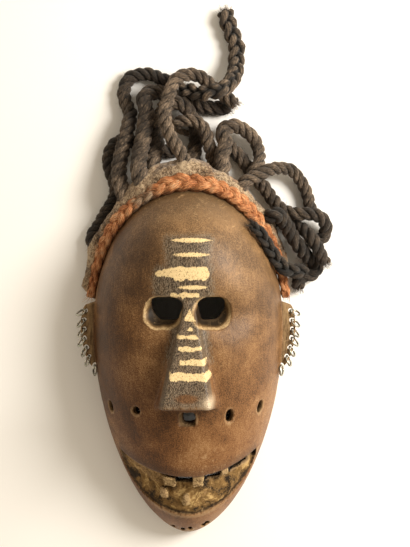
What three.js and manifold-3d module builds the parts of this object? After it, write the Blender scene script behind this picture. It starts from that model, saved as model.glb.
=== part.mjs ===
// A carved wooden face mask, lying on its back rim with its face up.
// A cloth cap band runs round the crown, a raffia braid lies along the wood's edge,
// rope hair spreads from the band, and small metal rings hang through the ears.
// Millimetres, +X to the right of the picture, +Y to the crown, +Z out of the face.
// Positions are measured from the eye line on the face's centre line, at the back rim.

import * as THREE from 'three';
import { mergeVertices } from 'three/addons/utils/BufferGeometryUtils.js';
import Module from 'manifold-3d';

const wasm = await Module();
wasm.setup();

// Gap kept between touching pieces, and how far cutters reach past the wood
const clearance = 0.4;
const cutFloor = -10;
const cutTop = 110;

// Outline of the wood at its back rim, round a centre below the eye line
const outlineCentreY = -15;
const faceHalfWidth = 67.5;
const crownReach = 105;
const chinReach = 144.6;
const crownPower = 2;
const jawPower = 1.78;

// Dome of the face
const wall = 9;
const domeHeight = 69;
const domeTilt = 0.065;
const domePower = 2.6;
const foreheadSwell = 5;
const foreheadY = 45;
const foreheadLength = 30;
const foreheadWidth = 42;
const orbitDepth = 5;
const orbitX = 24;
const orbitY = -3;
const orbitLength = 13;
const orbitWidth = 20;
const domeSpokes = 48;
const domeRings = 11;
const cavitySpokes = 36;
const cavityRings = 8;

// Eyes: openings bevelled on their outer and lower sides
const eyeInnerX = 3.2;
const eyeOuterX = 27.6;
const eyeTopY = 9.1;
const eyeBottomY = -12.2;
const eyeCorner = 5;
const eyeBevelOut = 4.6;
const eyeBevelDown = 7.8;
const eyeBevelDepth = 7;

// Nose: a long wedge with a flat front
const noseTopY = 4;
const noseTipY = -59.4;
const noseTopHalf = 3.4;
const noseTipHalf = 15;
const noseTopZ = 69;
const noseTipZ = 90;
const noseSideSlope = 0.17;
const noseUnderSlope = 0.12;
const noseRoot = 6;
const nostrilWidth = 11;
const nostrilLength = 9.7;
const nostrilY = -70.2;

// Mouth: a crescent recess under an arched upper lip
const mouthHalfWidth = 47;
const mouthCornerY = -95;
const mouthDrop = 44.4;
const mouthPower = 1.8;
const lipY = -110;
const lipRise = 14.58;
const lipDepth = 10.5;
const lowerLipDepth = 2.2;
const mouthBacking = 7;
const mouthBackingY = -116;
const mouthBackingLength = 24;
const mouthBackingWidth = 50;
const mouthColumns = 16;
const mouthRows = 3;
const slitWidth = 3.2;
const slits = [
  { from: -7.5, to: 3.1 },
  { from: 11, to: 21.7 },
  { from: 28, to: 40 },
];

// Broken teeth: stubs left standing in the recess
const toothDepth = 1.5;
const toothRoot = 13;
const toothTaper = 0.8;
const teeth = [
  { x: -11.8, y: -114.2, width: 8.4, length: 7.6 },
  { x: 7, y: -114, width: 7.6, length: 9 },
  { x: 25, y: -108, width: 4.8, length: 4.6 },
  { x: -1, y: -127.2, width: 4, length: 7.2 },
  { x: -15.8, y: -123, width: 4.4, length: 8 },
];

// Holes drilled through the cheeks and the chin's rim
const cheekHoles = [
  { x: -52, y: -65.2, width: 6.5, length: 7.8, tilt: -50 },
  { x: -33.4, y: -65.3, width: 6, length: 5.5, tilt: -25 },
  { x: 27.8, y: -68.2, width: 5.6, length: 8.5, tilt: 22 },
  { x: 48.8, y: -64.8, width: 6.4, length: 8.5, tilt: 48 },
];
const chinHoleXs = [-11, 1, 12];
const chinHoleZ = 7;
const chinHoleDiameter = 3.2;
const drillSides = 10;
const drillLength = 60;

// Ears: flat flanges with a row of holes for rings, drawn in towards their lower ends
const earProud = 6.9;
const earReach = faceHalfWidth + earProud;
const earHalfWidth = 12.5;
const earY = -20.4;
const earHalfLength = 25;
const earPower = 4;
const earZ = 20;
const earThickness = 3;
const earTaper = 8.5;
const earTaperY = -15;
const earTaperLength = 29;
const earSides = 28;
const ringsPerEar = 7;
const ringSpacing = 6.3;
const ringHoleInset = 2.5;
const ringHoleDiameter = 3.2;
const ringDiameter = 7.2;
const ringWire = 1.3;
const ringLeanAngle = 22;
const ringYawAngles = [-52, -46, -51, -44, -50, -45, -40];
const ringWireSides = 4;
const ringSegments = 10;

// Cloth cap band round the crown, from ear to ear
const capOverhang = 11.3;
const capCrownSwell = 1.2;
const capCrownWidth = 22;
const capInset = 14;
const capFloor = 3;
const capTopRise = 2.5;
const capStartAngle = 30;
const capEndAngle = 162;
const capPower = 2.6;
const capStations = 26;
const capSides = 10;

// Raffia braid along the wood's edge
const braidWidth = 8.8;
const braidSink = 0.2;
const braidStartAngle = 18;
const braidEndAngle = 162;
const braidCrownZ = 35.5;
const braidEarZ = 8;
const braidFallPower = 2.2;
const braidPlaits = 26;
const stationsPerPlait = 2;
const braidWaist = 0.12;
const braidSides = 8;

// Ropes of the hair, each with a route chosen by hand
const ropeSides = 8;
const ropeStepDiameters = 1.75;
const ropes = [
  {
    name: 'rope_outer_left',
    diameter: 8,
    points: [
      [-69, 50, 6], [-65, 57, 5], [-60, 66, 5], [-55, 74, 5], [-52, 81, 5],
      [-53, 89, 5], [-56, 98, 5], [-57, 106, 5], [-55, 113, 5], [-50, 118, 5],
      [-44, 119, 5], [-37, 117.5, 5], [-30, 114.5, 5], [-22, 112, 5], [-15, 111.5, 5], [-9, 111, 5],
    ],
  },
  {
    name: 'rope_left_loop',
    diameter: 8.8,
    points: [
      [-46.2, 83.6, 20.5], [-48, 91, 18], [-48, 101, 16], [-46, 111, 15], [-44, 119, 14.5],
      [-42, 129, 12], [-41, 137, 8], [-44, 144, 5.5], [-46, 151, 5], [-45, 158, 5],
      [-41, 164, 5], [-34, 166, 5], [-27, 166, 5], [-20, 163, 5], [-13, 161, 5],
    ],
  },
  {
    name: 'rope_left_front',
    diameter: 8.8,
    points: [
      [-33.3, 93.2, 27.5], [-34, 98, 25], [-33, 108, 22], [-31, 118, 20.5], [-30, 128, 18.5],
      [-29, 138, 17], [-31, 144, 16], [-29, 150, 14], [-24, 152, 11], [-18, 152, 7],
      [-12, 151, 5], [-5, 148, 5], [2, 146, 5], [10, 143, 5], [17, 142, 5],
      [24, 142, 5], [29, 142, 5],
    ],
  },
  {
    name: 'rope_front',
    diameter: 8.8,
    points: [
      [-3, 103, 31], [-7, 110, 29], [-12, 118, 28], [-15, 127, 28], [-16, 135, 27],
      [-14, 143, 26], [-12, 150, 25], [-10, 156, 23], [-5, 161, 20], [2, 163, 17],
      [8, 162, 15.5], [14, 158, 14.5], [19, 153, 14.5], [26, 148, 14.5], [33, 143, 14.5],
    ],
  },
  {
    name: 'rope_tail_plait',
    diameter: 9.2,
    points: [
      [-6, 153.5, 13.8], [-1, 152.5, 15.5], [3, 151, 17], [9, 149, 20.5], [15, 149, 24.5], [22, 150, 26],
      [28, 155, 21], [33, 166, 11], [34, 177, 6], [34, 187, 5], [31, 195, 5],
      [28, 203, 5], [26, 211, 5],
    ],
  },
  {
    name: 'rope_middle',
    diameter: 8.6,
    points: [
      [-24, 100, 22], [-24, 103.5, 19.5], [-22, 111, 16], [-22, 120, 14], [-22, 129, 14],
      [-18, 137, 14.5], [-13, 143, 15], [-7, 144, 15], [-2, 141, 14], [1, 136, 11],
      [4.4, 130, 6.5], [6, 124, 5], [4.8, 115, 5], [3.5, 106, 6],
    ],
  },
  {
    name: 'rope_curl',
    diameter: 8.4,
    points: [
      [-9, 128, 18], [-5, 130, 19], [1, 130.5, 20], [7, 129, 20], [12, 123, 18],
      [14, 115, 15.5], [16, 111, 13], [17, 105.5, 10], [18, 100.6, 9],
    ],
  },
  {
    name: 'rope_thin_strand',
    diameter: 4.6,
    points: [
      [-21, 146.4, 2.8], [-18, 141.8, 2.7], [-15.5, 137, 2.7], [-13.5, 132.5, 2.7],
      [-10.5, 129, 2.7], [-7, 126.5, 2.7], [-3, 125, 2.7], [-0.2, 124.4, 2.7],
    ],
  },
  {
    name: 'rope_arch',
    diameter: 8.8,
    points: [
      [24, 99.2, 20], [23, 102.5, 20], [24, 108, 20], [26, 114, 19], [24, 121, 18],
      [25, 125, 16], [29, 127, 15], [33, 128, 13], [38, 126, 11], [44, 122, 9],
      [48, 117, 7], [50, 110, 8], [50, 103, 12.5], [47, 97, 15], [43, 93, 15],
    ],
  },
  {
    name: 'rope_long_right',
    diameter: 8.8,
    points: [
      [27, 118, 6], [30, 114, 5], [35, 109, 5], [40, 103, 5], [44, 97, 5],
      [49, 91, 5], [55, 84, 5], [59, 78, 6], [64, 71, 9], [71, 67, 12],
      [78, 66, 14], [86, 66, 14.5], [92, 64, 14], [97, 58, 10], [96, 51, 6],
      [91, 47, 5], [87, 47, 5],
    ],
  },
  {
    name: 'rope_hook',
    diameter: 8.8,
    points: [
      [40, 88, 26], [44, 90, 25], [49, 92, 23.5], [56, 96, 20], [64, 98, 14.5],
      [73, 97, 9], [79, 91, 6], [84, 82, 5], [86, 74, 5], [88, 67, 5],
    ],
  },
  {
    name: 'rope_lower_right',
    diameter: 8.6,
    points: [
      [62, 62.5, 5], [68, 61, 5], [74, 59, 6], [80, 56, 9], [85, 51, 14.5],
      [89, 45, 15], [92.5, 38, 14], [96, 31, 14],
    ],
  },
  {
    name: 'rope_fold',
    diameter: 9,
    points: [
      [60, 65, 25], [64, 63, 21], [69, 57, 16], [73, 50, 14.5], [78, 43, 14.5],
      [83, 37, 9], [89, 32, 5], [91, 27, 5], [86.5, 23, 5], [81, 22, 5],
      [78.3, 19, 5], [77.8, 14, 5],
    ],
  },
  {
    name: 'rope_side_plait',
    diameter: 9.6,
    points: [
      [43.2, 57, 41], [46.2, 54.2, 40.5], [50.2, 49.7, 38.3], [53.8, 44.2, 34.6], [57.5, 38.7, 30.5],
      [61, 33.2, 27.5], [65.5, 28.7, 24.5], [71, 26, 22], [77, 25.8, 18.5], [80.5, 24.4, 15],
    ],
  },
];

const toRadians = THREE.MathUtils.degToRad;
const lerp = THREE.MathUtils.lerp;

// Direction of one spoke: spokes are spaced evenly along the outline, not by angle
function spokeAngle(turn) {
  const upper = Math.sin(turn) > 0;
  const reach = upper ? crownReach : chinReach;
  const power = upper ? crownPower : jawPower;
  const x = faceHalfWidth * squareness(Math.cos(turn), power);
  const y = reach * squareness(Math.sin(turn), power);
  return Math.atan2(y, x);
}

// Coordinate on a superellipse of one unit: a power of 2 is a circle
function squareness(value, power) {
  return Math.sign(value) * Math.pow(Math.abs(value), 2 / power);
}

function bell(value, spread) {
  return Math.exp(-((value / spread) ** 2));
}

// Distance from the outline's centre to the back rim in one direction
function rimRadius(angle) {
  const upper = Math.sin(angle) > 0;
  const reach = upper ? crownReach : chinReach;
  const power = upper ? crownPower : jawPower;
  const across = Math.abs(Math.cos(angle)) / faceHalfWidth;
  const along = Math.abs(Math.sin(angle)) / reach;
  return Math.pow(Math.pow(across, power) + Math.pow(along, power), -1 / power);
}

function crestHeight(y) {
  return domeHeight + domeTilt * y;
}

// Height of the wood's outer surface, at a share of the way out to the rim
function domeSurface(x, y, share) {
  const base = crestHeight(y) * Math.sqrt(Math.max(0, 1 - Math.pow(share, domePower)));
  const swell = foreheadSwell * bell(y - foreheadY, foreheadLength) * bell(x, foreheadWidth);
  const orbit = orbitDepth * bell(y - orbitY, orbitLength) * bell(Math.abs(x) - orbitX, orbitWidth);
  const fade = Math.min(1, (2 * base) / domeHeight);
  return base + fade * (swell - orbit);
}

function outerHeight(x, y) {
  const dy = y - outlineCentreY;
  const share = Math.hypot(x, dy) / rimRadius(Math.atan2(dy, x));
  return domeSurface(x, y, Math.min(1, share));
}

// Share of the way out at which the dome has come down to a height
function shareAtHeight(z, y) {
  return Math.pow(1 - (z / crestHeight(y)) ** 2, 1 / domePower);
}

// Signed volume, used to turn a closed body's faces outward
function signedVolume(geometry) {
  const position = geometry.getAttribute('position');
  const index = geometry.getIndex();
  const corners = [new THREE.Vector3(), new THREE.Vector3(), new THREE.Vector3()];
  let volume = 0;
  for (let i = 0; i < index.count; i += 3) {
    corners.forEach((corner, k) => corner.fromBufferAttribute(position, index.getX(i + k)));
    volume += corners[0].dot(corners[1].cross(corners[2])) / 6;
  }
  return volume;
}

function closedGeometry(points, faces) {
  const geometry = new THREE.BufferGeometry();
  geometry.setAttribute('position', new THREE.Float32BufferAttribute(points.flat(), 3));
  geometry.setIndex(faces.flat());
  if (signedVolume(geometry) < 0) {
    geometry.setIndex(faces.map(([a, b, c]) => [a, c, b]).flat());
  }
  return geometry;
}

// Closed body through loops of equal point counts, with a fan over each end
function loft(loops) {
  const sides = loops[0].length;
  const points = loops.flat();
  const faces = [];
  for (let row = 0; row + 1 < loops.length; row += 1) {
    for (let k = 0; k < sides; k += 1) {
      const a = row * sides + k;
      const b = row * sides + ((k + 1) % sides);
      faces.push([a, b, b + sides], [a, b + sides, a + sides]);
    }
  }
  const middle = (loop) => [0, 1, 2].map((axis) => loop.reduce((sum, p) => sum + p[axis], 0) / sides);
  const first = points.length;
  points.push(middle(loops[0]), middle(loops[loops.length - 1]));
  const last = (loops.length - 1) * sides;
  for (let k = 0; k < sides; k += 1) {
    const next = (k + 1) % sides;
    faces.push([first, next, k], [first + 1, last + k, last + next]);
  }
  return closedGeometry(points, faces);
}

function toSolid(geometry) {
  const bare = geometry.clone();
  bare.deleteAttribute('normal');
  bare.deleteAttribute('uv');
  const merged = mergeVertices(bare, 1e-4);
  const vertProperties = new Float32Array(merged.getAttribute('position').array);
  const triVerts = new Uint32Array(merged.getIndex().array);
  return new wasm.Manifold(new wasm.Mesh({ numProp: 3, vertProperties, triVerts }));
}

function toGeometry(solid) {
  const mesh = solid.getMesh();
  const geometry = new THREE.BufferGeometry();
  geometry.setAttribute('position', new THREE.BufferAttribute(new Float32Array(mesh.vertProperties), 3));
  geometry.setIndex(new THREE.BufferAttribute(new Uint32Array(mesh.triVerts), 1));
  return geometry;
}

// Body of the dome's shape, grown or shrunk by a margin, down to a floor
function domeSolid(margin, floor, rings = domeRings, spokes = domeSpokes, backing = () => 0) {
  const loops = [];
  const heightScale = (domeHeight + margin) / domeHeight;
  for (let ring = 1; ring <= rings; ring += 1) {
    const share = 1 - (1 - ring / rings) ** 2;
    const loop = [];
    for (let spoke = 0; spoke < spokes; spoke += 1) {
      const angle = spokeAngle((2 * Math.PI * spoke) / spokes);
      const full = rimRadius(angle);
      const x = full * share * Math.cos(angle);
      const y = outlineCentreY + full * share * Math.sin(angle);
      const shrink = (full + margin) / full;
      const z = domeSurface(x, y, share) * heightScale - backing(x, y);
      loop.push([x * shrink, outlineCentreY + (y - outlineCentreY) * shrink, Math.max(0, z)]);
    }
    loops.push(loop);
  }
  if (floor < 0) {
    const rim = loops[loops.length - 1];
    loops.push(rim.map(([x, y]) => [x, y, floor]));
  }
  return toSolid(loft(loops));
}

function mouthBackingAt(x, y) {
  return mouthBacking * bell(y - mouthBackingY, mouthBackingLength) * bell(x, mouthBackingWidth);
}

// Straight-sided body over an outline of [x, y] points
function prism(outline, bottom, top) {
  const shape = new THREE.Shape(outline.map(([x, y]) => new THREE.Vector2(x, y)));
  const geometry = new THREE.ExtrudeGeometry(shape, { depth: top - bottom, bevelEnabled: false });
  return toSolid(geometry.translate(0, 0, bottom));
}

function roundedRectangle(left, right, bottom, top, radius) {
  const centres = [
    [right - radius, top - radius],
    [left + radius, top - radius],
    [left + radius, bottom + radius],
    [right - radius, bottom + radius],
  ];
  const cornerSteps = 3;
  const outline = [];
  centres.forEach(([x, y], quarter) => {
    for (let step = 0; step <= cornerSteps; step += 1) {
      const angle = ((quarter + step / cornerSteps) * Math.PI) / 2;
      outline.push([x + radius * Math.cos(angle), y + radius * Math.sin(angle)]);
    }
  });
  return outline;
}

function mirrored(outline, side) {
  return side > 0 ? outline : outline.map(([x, y]) => [-x, y]);
}

// Cutter of one eye: a bevelled funnel down to a smaller hole right through
function eyeCutter(side) {
  const innerRadius = eyeCorner / 2;
  const outer = roundedRectangle(eyeInnerX, eyeOuterX, eyeBottomY, eyeTopY, eyeCorner);
  const inner = roundedRectangle(
    eyeInnerX, eyeOuterX - eyeBevelOut, eyeBottomY + eyeBevelDown, eyeTopY, innerRadius);
  const outerLoop = mirrored(outer, side);
  const innerLoop = mirrored(inner, side);
  return toSolid(loft([
    outerLoop.map(([x, y]) => [x, y, cutTop]),
    outerLoop.map(([x, y]) => [x, y, outerHeight(x, y) + clearance]),
    innerLoop.map(([x, y]) => [x, y, outerHeight(x, y) - eyeBevelDepth]),
    innerLoop.map(([x, y]) => [x, y, cutFloor]),
  ]));
}

function noseSolid() {
  const stations = 6;
  const loops = [];
  for (let i = 0; i <= stations; i += 1) {
    const t = i / stations;
    const y = lerp(noseTopY, noseTipY, t);
    const half = lerp(noseTopHalf, noseTipHalf, t);
    const frontZ = lerp(noseTopZ, noseTipZ, t);
    const rootZ = outerHeight(0, y) - noseRoot;
    const rootHalf = half + noseSideSlope * (frontZ - rootZ);
    const rootY = i === stations ? y - noseUnderSlope * (frontZ - rootZ) : y;
    loops.push([[-rootHalf, rootY, rootZ], [-half, y, frontZ], [half, y, frontZ], [rootHalf, rootY, rootZ]]);
  }
  return toSolid(loft(loops));
}

function upperLipAt(x) {
  return lipY + lipRise * (x / mouthHalfWidth) ** 2;
}

function lowerLipAt(x) {
  const share = Math.min(1, Math.abs(x) / mouthHalfWidth);
  const drop = mouthDrop * Math.pow(1 - Math.pow(share, mouthPower), 1 / mouthPower);
  return Math.min(mouthCornerY - drop, upperLipAt(x) - clearance);
}

// Cutter of the mouth: its floor is deep under the upper lip and rises to the lower one
function mouthCutter() {
  const loops = [];
  for (let column = 0; column <= mouthColumns; column += 1) {
    const x = mouthHalfWidth * Math.sin(Math.PI * (column / mouthColumns - 0.5));
    const floor = [];
    for (let row = 0; row <= mouthRows; row += 1) {
      const t = row / mouthRows;
      const y = lerp(lowerLipAt(x), upperLipAt(x), t);
      floor.push([x, y, outerHeight(x, y) - lerp(lowerLipDepth, lipDepth, t)]);
    }
    loops.push([...floor, [x, upperLipAt(x), cutTop], [x, lowerLipAt(x), cutTop]]);
  }
  return toSolid(loft(loops));
}

function slitCutter({ from, to }) {
  const xs = [from, (from + to) / 2, to];
  const lower = xs.map((x) => [x, upperLipAt(x) - slitWidth]);
  const upper = xs.map((x) => [x, upperLipAt(x)]).reverse();
  return prism([...lower, ...upper], cutFloor, cutTop);
}

function toothSolid({ x, y, width, length }) {
  const surface = outerHeight(x, y);
  const corners = [[-1, -1], [1, -1], [1, 1], [-1, 1]];
  const loopAt = (z, scale) => corners.map(([sx, sy]) => [
    x + (sx * scale * width) / 2,
    y + (sy * scale * length) / 2,
    z,
  ]);
  return toSolid(loft([loopAt(surface - toothRoot, 1), loopAt(surface - toothDepth, toothTaper)]));
}

function drill(width, length) {
  const cylinder = new THREE.CylinderGeometry(0.5, 0.5, drillLength, drillSides);
  return cylinder.rotateX(Math.PI / 2).scale(width, length, 1);
}

function cheekHoleCutter({ x, y, width, length, tilt }) {
  return toSolid(drill(width, length).rotateY(toRadians(tilt)).translate(x, y, outerHeight(x, y)));
}

function chinHoleCutter(x) {
  const chinY = outlineCentreY - chinReach;
  return toSolid(drill(chinHoleDiameter, chinHoleDiameter).rotateX(Math.PI / 2).translate(x, chinY, chinHoleZ));
}

// How far an ear is drawn in at one height
function earTaperAt(y) {
  return earTaper * Math.max(0, (earTaperY - y) / earTaperLength) ** 2;
}

// Flange of one ear, reaching into the wood that carries it
function earSolid(side) {
  const centreX = earReach - earHalfWidth;
  const outline = [];
  for (let k = 0; k < earSides; k += 1) {
    const angle = (2 * Math.PI * k) / earSides;
    const across = Math.abs(Math.cos(angle)) / earHalfWidth;
    const along = Math.abs(Math.sin(angle)) / earHalfLength;
    const radius = Math.pow(Math.pow(across, earPower) + Math.pow(along, earPower), -1 / earPower);
    const y = earY + radius * Math.sin(angle);
    outline.push([centreX + radius * Math.cos(angle) - earTaperAt(y), y]);
  }
  return prism(mirrored(outline, side), earZ - earThickness / 2, earZ + earThickness / 2);
}

function earEdgeAt(y) {
  const along = Math.abs(y - earY) / earHalfLength;
  const round = earHalfWidth * (1 - Math.pow(1 - Math.pow(along, earPower), 1 / earPower));
  return earReach - round - earTaperAt(y);
}

// Centres of the ring holes down one ear
function ringHoles(side) {
  const holes = [];
  for (let i = 0; i < ringsPerEar; i += 1) {
    const y = earY + ringSpacing * (i - (ringsPerEar - 1) / 2);
    holes.push([side * (earEdgeAt(y) - ringHoleInset), y]);
  }
  return holes;
}

function ringHoleCutter([x, y]) {
  const cylinder = new THREE.CylinderGeometry(
    ringHoleDiameter / 2, ringHoleDiameter / 2, earThickness * 2, drillSides);
  return toSolid(cylinder.rotateX(Math.PI / 2).translate(x, y, earZ));
}

function carvedFace() {
  const sides = [-1, 1];
  let wood = domeSolid(0, 0);
  sides.forEach((side) => { wood = wood.add(earSolid(side)); });
  sides.forEach((side) => { wood = wood.subtract(eyeCutter(side)); });
  wood = wood.add(noseSolid());
  wood = wood.subtract(mouthCutter());
  teeth.forEach((tooth) => { wood = wood.add(toothSolid(tooth)); });
  slits.forEach((slit) => { wood = wood.subtract(slitCutter(slit)); });
  wood = wood.subtract(domeSolid(-wall, cutFloor, cavityRings, cavitySpokes, mouthBackingAt));
  const nostril = roundedRectangle(
    -nostrilWidth / 2, nostrilWidth / 2,
    nostrilY - nostrilLength / 2, nostrilY + nostrilLength / 2, nostrilWidth / 6);
  wood = wood.subtract(prism(nostril, cutFloor, cutTop));
  cheekHoles.forEach((hole) => { wood = wood.subtract(cheekHoleCutter(hole)); });
  chinHoleXs.forEach((x) => { wood = wood.subtract(chinHoleCutter(x)); });
  sides.flatMap(ringHoles).forEach((hole) => { wood = wood.subtract(ringHoleCutter(hole)); });
  return wood;
}

// Loop in the upright plane that runs out from the outline's centre
function uprightLoop(angle, sides, pointAt) {
  const loop = [];
  for (let k = 0; k < sides; k += 1) {
    const [out, z] = pointAt((2 * Math.PI * k) / sides);
    loop.push([out * Math.cos(angle), outlineCentreY + out * Math.sin(angle), z]);
  }
  return loop;
}

// Height of the braid's middle along the wood's edge: it falls from the crown to the ears
function braidHeight(degrees) {
  const t = (degrees - braidStartAngle) / (braidEndAngle - braidStartAngle);
  return lerp(braidEarZ, braidCrownZ, Math.pow(Math.sin(Math.PI * t), braidFallPower));
}

function braidSolid(margin) {
  const stations = braidPlaits * stationsPerPlait;
  const loops = [];
  for (let i = 0; i <= stations; i += 1) {
    const t = i / stations;
    const degrees = lerp(braidStartAngle, braidEndAngle, t);
    const angle = toRadians(degrees);
    const z = braidHeight(degrees);
    const y = outlineCentreY + rimRadius(angle) * Math.sin(angle);
    const seat = rimRadius(angle) * shareAtHeight(z, y);
    const swell = 1 - braidWaist * Math.cos((2 * Math.PI * i) / stationsPerPlait);
    const radius = (braidWidth / 2) * swell + margin;
    const centre = seat + braidWidth / 2 - braidSink;
    loops.push(uprightLoop(angle, braidSides, (turn) => [
      centre + radius * Math.cos(turn),
      z + radius * Math.sin(turn),
    ]));
  }
  return toSolid(loft(loops));
}

// The main body of a cut piece, without the slivers that the cut leaves beside it
function mainBody(solid) {
  const bodies = solid.decompose();
  return bodies.reduce((best, body) => (body.volume() > best.volume() ? body : best));
}

function capSolid() {
  const loops = [];
  for (let i = 0; i <= capStations; i += 1) {
    const t = i / capStations;
    const degrees = lerp(capStartAngle, capEndAngle, t);
    const angle = toRadians(degrees);
    const crownSwell = capCrownSwell * bell(rimRadius(angle) * Math.cos(angle), capCrownWidth);
    const outer = rimRadius(angle) + capOverhang + crownSwell;
    const inner = rimRadius(angle) - capInset;
    const top = braidHeight(degrees) + capTopRise;
    loops.push(uprightLoop(angle, capSides, (turn) => [
      (outer + inner) / 2 + ((outer - inner) / 2) * squareness(Math.cos(turn), capPower),
      (top + capFloor) / 2 + ((top - capFloor) / 2) * squareness(Math.sin(turn), capPower),
    ]));
  }
  return toSolid(loft(loops));
}

function ropeGeometry({ diameter, points }) {
  const route = new THREE.CatmullRomCurve3(points.map((p) => new THREE.Vector3(...p)));
  const section = new THREE.Shape().absarc(0, 0, diameter / 2, 0, 2 * Math.PI);
  const steps = Math.ceil(route.getLength() / (ropeStepDiameters * diameter));
  const geometry = new THREE.ExtrudeGeometry(section, {
    steps,
    curveSegments: ropeSides / 2,
    extrudePath: route,
  });
  return geometry;
}

// Ring through one hole: it lies over the flange's edge, turned down along it and leaning
function ringGeometry([x, y], side, yaw) {
  const edgeTurn = THREE.MathUtils.radToDeg(Math.atan(earEdgeAt(y + 1) - earEdgeAt(y)));
  const torus = new THREE.TorusGeometry(ringDiameter / 2, ringWire / 2, ringWireSides, ringSegments);
  return torus
    .rotateX(Math.PI / 2)
    .translate(ringDiameter / 2, 0, 0)
    .rotateX(toRadians(side * ringLeanAngle))
    .rotateZ(side > 0 ? toRadians(yaw - edgeTurn) : Math.PI - toRadians(yaw - edgeTurn))
    .translate(x, y, earZ);
}

const wood = new THREE.MeshStandardMaterial({ color: 0x8a5a36, roughness: 0.5, metalness: 0 });
const cloth = new THREE.MeshStandardMaterial({ color: 0xa08a6c, roughness: 0.95, metalness: 0 });
const raffia = new THREE.MeshStandardMaterial({ color: 0xb8733c, roughness: 0.85, metalness: 0 });
const fibre = new THREE.MeshStandardMaterial({ color: 0x4a3a2c, roughness: 0.95, metalness: 0 });
const metal = new THREE.MeshStandardMaterial({ color: 0x84867c, roughness: 0.45, metalness: 0.9 });

const mask = new THREE.Group();

function addPiece(name, geometry, material) {
  const piece = new THREE.Mesh(geometry, material);
  piece.name = name;
  mask.add(piece);
  return piece;
}

const grownDome = domeSolid(clearance, cutFloor);
const braid = braidSolid(0).subtract(grownDome);
const cap = mainBody(capSolid().subtract(grownDome).subtract(braidSolid(clearance)));

addPiece('carved_face', toGeometry(carvedFace()), wood);
addPiece('cloth_cap_band', toGeometry(cap), cloth);
addPiece('raffia_braid', toGeometry(braid), raffia);
for (const [sideName, side] of [['left', -1], ['right', 1]]) {
  ringHoles(side).forEach((hole, i) => {
    addPiece(`ear_ring_${sideName}_${i + 1}`, ringGeometry(hole, side, ringYawAngles[i]), metal);
  });
}

// The origin is under the middle of the wood, cloth, braid and rings, on the floor
const footprint = new THREE.Box3().setFromObject(mask);
const middle = footprint.getCenter(new THREE.Vector3());
ropes.forEach((rope) => addPiece(rope.name, ropeGeometry(rope), fibre));
mask.position.set(-middle.x, -middle.y, 0);
mask.updateMatrixWorld(true);

export default mask;
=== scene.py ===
# Looks of a carved wooden face mask that lies on its back rim, seen from straight above:
# polished wood, rolled cloth band, raffia braid, twisted rope hair and metal ear rings.
# Shapes are worked out in millimetres from the eye line on the centre line at the back rim,
# and moved into the frame's metres when a mesh is made.

import math

import bpy
import numpy as np
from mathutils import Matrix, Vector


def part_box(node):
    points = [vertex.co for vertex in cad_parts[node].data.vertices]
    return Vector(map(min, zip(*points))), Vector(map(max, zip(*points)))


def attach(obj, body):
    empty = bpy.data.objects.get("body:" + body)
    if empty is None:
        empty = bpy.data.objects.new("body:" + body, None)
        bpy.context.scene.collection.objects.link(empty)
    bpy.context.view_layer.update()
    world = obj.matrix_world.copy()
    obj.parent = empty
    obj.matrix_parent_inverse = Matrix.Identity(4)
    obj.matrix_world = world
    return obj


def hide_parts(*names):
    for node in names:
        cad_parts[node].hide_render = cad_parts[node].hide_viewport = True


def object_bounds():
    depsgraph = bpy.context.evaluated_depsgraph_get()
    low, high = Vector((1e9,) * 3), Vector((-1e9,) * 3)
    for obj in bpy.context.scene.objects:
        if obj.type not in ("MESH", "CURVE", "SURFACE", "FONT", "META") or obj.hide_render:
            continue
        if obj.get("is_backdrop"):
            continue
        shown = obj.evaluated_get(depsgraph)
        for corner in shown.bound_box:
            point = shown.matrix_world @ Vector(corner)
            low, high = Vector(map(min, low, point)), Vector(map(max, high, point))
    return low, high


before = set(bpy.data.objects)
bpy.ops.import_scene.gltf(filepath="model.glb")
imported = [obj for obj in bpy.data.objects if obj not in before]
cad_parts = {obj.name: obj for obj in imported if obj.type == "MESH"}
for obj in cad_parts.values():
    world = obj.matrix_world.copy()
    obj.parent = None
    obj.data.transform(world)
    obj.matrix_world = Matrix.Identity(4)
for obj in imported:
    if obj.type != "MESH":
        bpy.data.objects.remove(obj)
cad_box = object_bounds()

MM = 0.001
BODY = "root"
FULL_TURN = 2 * math.pi

# Keeps divisions from failing, and stands for a distance that is out of reach
TINY = 1e-9
FAR = 50.0

# Outline of the wood at its back rim
CENTRE_Y = -15.0
FACE_HALF_WIDTH = 67.5
CROWN_REACH = 105.0
CHIN_REACH = 144.6
CROWN_POWER = 2.0
JAW_POWER = 1.78

# The chin is the wood's lowest point in the picture, so it ties the two frames together
SHIFT_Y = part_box("carved_face")[0].y / MM - (CENTRE_Y - CHIN_REACH)

# Camera: straight above, as the photograph was taken
CAMERA_X = 11.7
CAMERA_Y = 24.2
CAMERA_HEIGHT = 600.0
LENS = 55.0


def metres(points):
    """Points in millimetres round the eye line, as points of the frame in metres"""
    moved = np.array(points, dtype=float)
    moved[:, 1] += SHIFT_Y
    return moved * MM


def unit(vectors):
    """Vectors with their directions kept and their lengths made one"""
    return vectors / (np.linalg.norm(vectors, axis=-1, keepdims=True) + TINY)


def add_object(name, data):
    """New object of a mesh, lamp or camera in the scene"""
    thing = bpy.data.objects.new(name, data)
    bpy.context.scene.collection.objects.link(thing)
    return thing


def make_mesh(name, points, faces, material, attributes=None):
    """Smooth mesh object from points in millimetres, riding on the part"""
    mesh = bpy.data.meshes.new(name)
    mesh.from_pydata(metres(points).tolist(), [], [list(face) for face in faces])
    mesh.polygons.foreach_set("use_smooth", [True] * len(mesh.polygons))
    for key, values in (attributes or {}).items():
        layer = mesh.attributes.new(key, "FLOAT", "POINT")
        layer.data.foreach_set("value", np.asarray(values, dtype=np.float32))
    mesh.materials.append(material)
    mesh.update()
    piece = add_object(name, mesh)
    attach(piece, BODY)
    return piece


# Smooth random fields

LATTICE = 32


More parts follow.
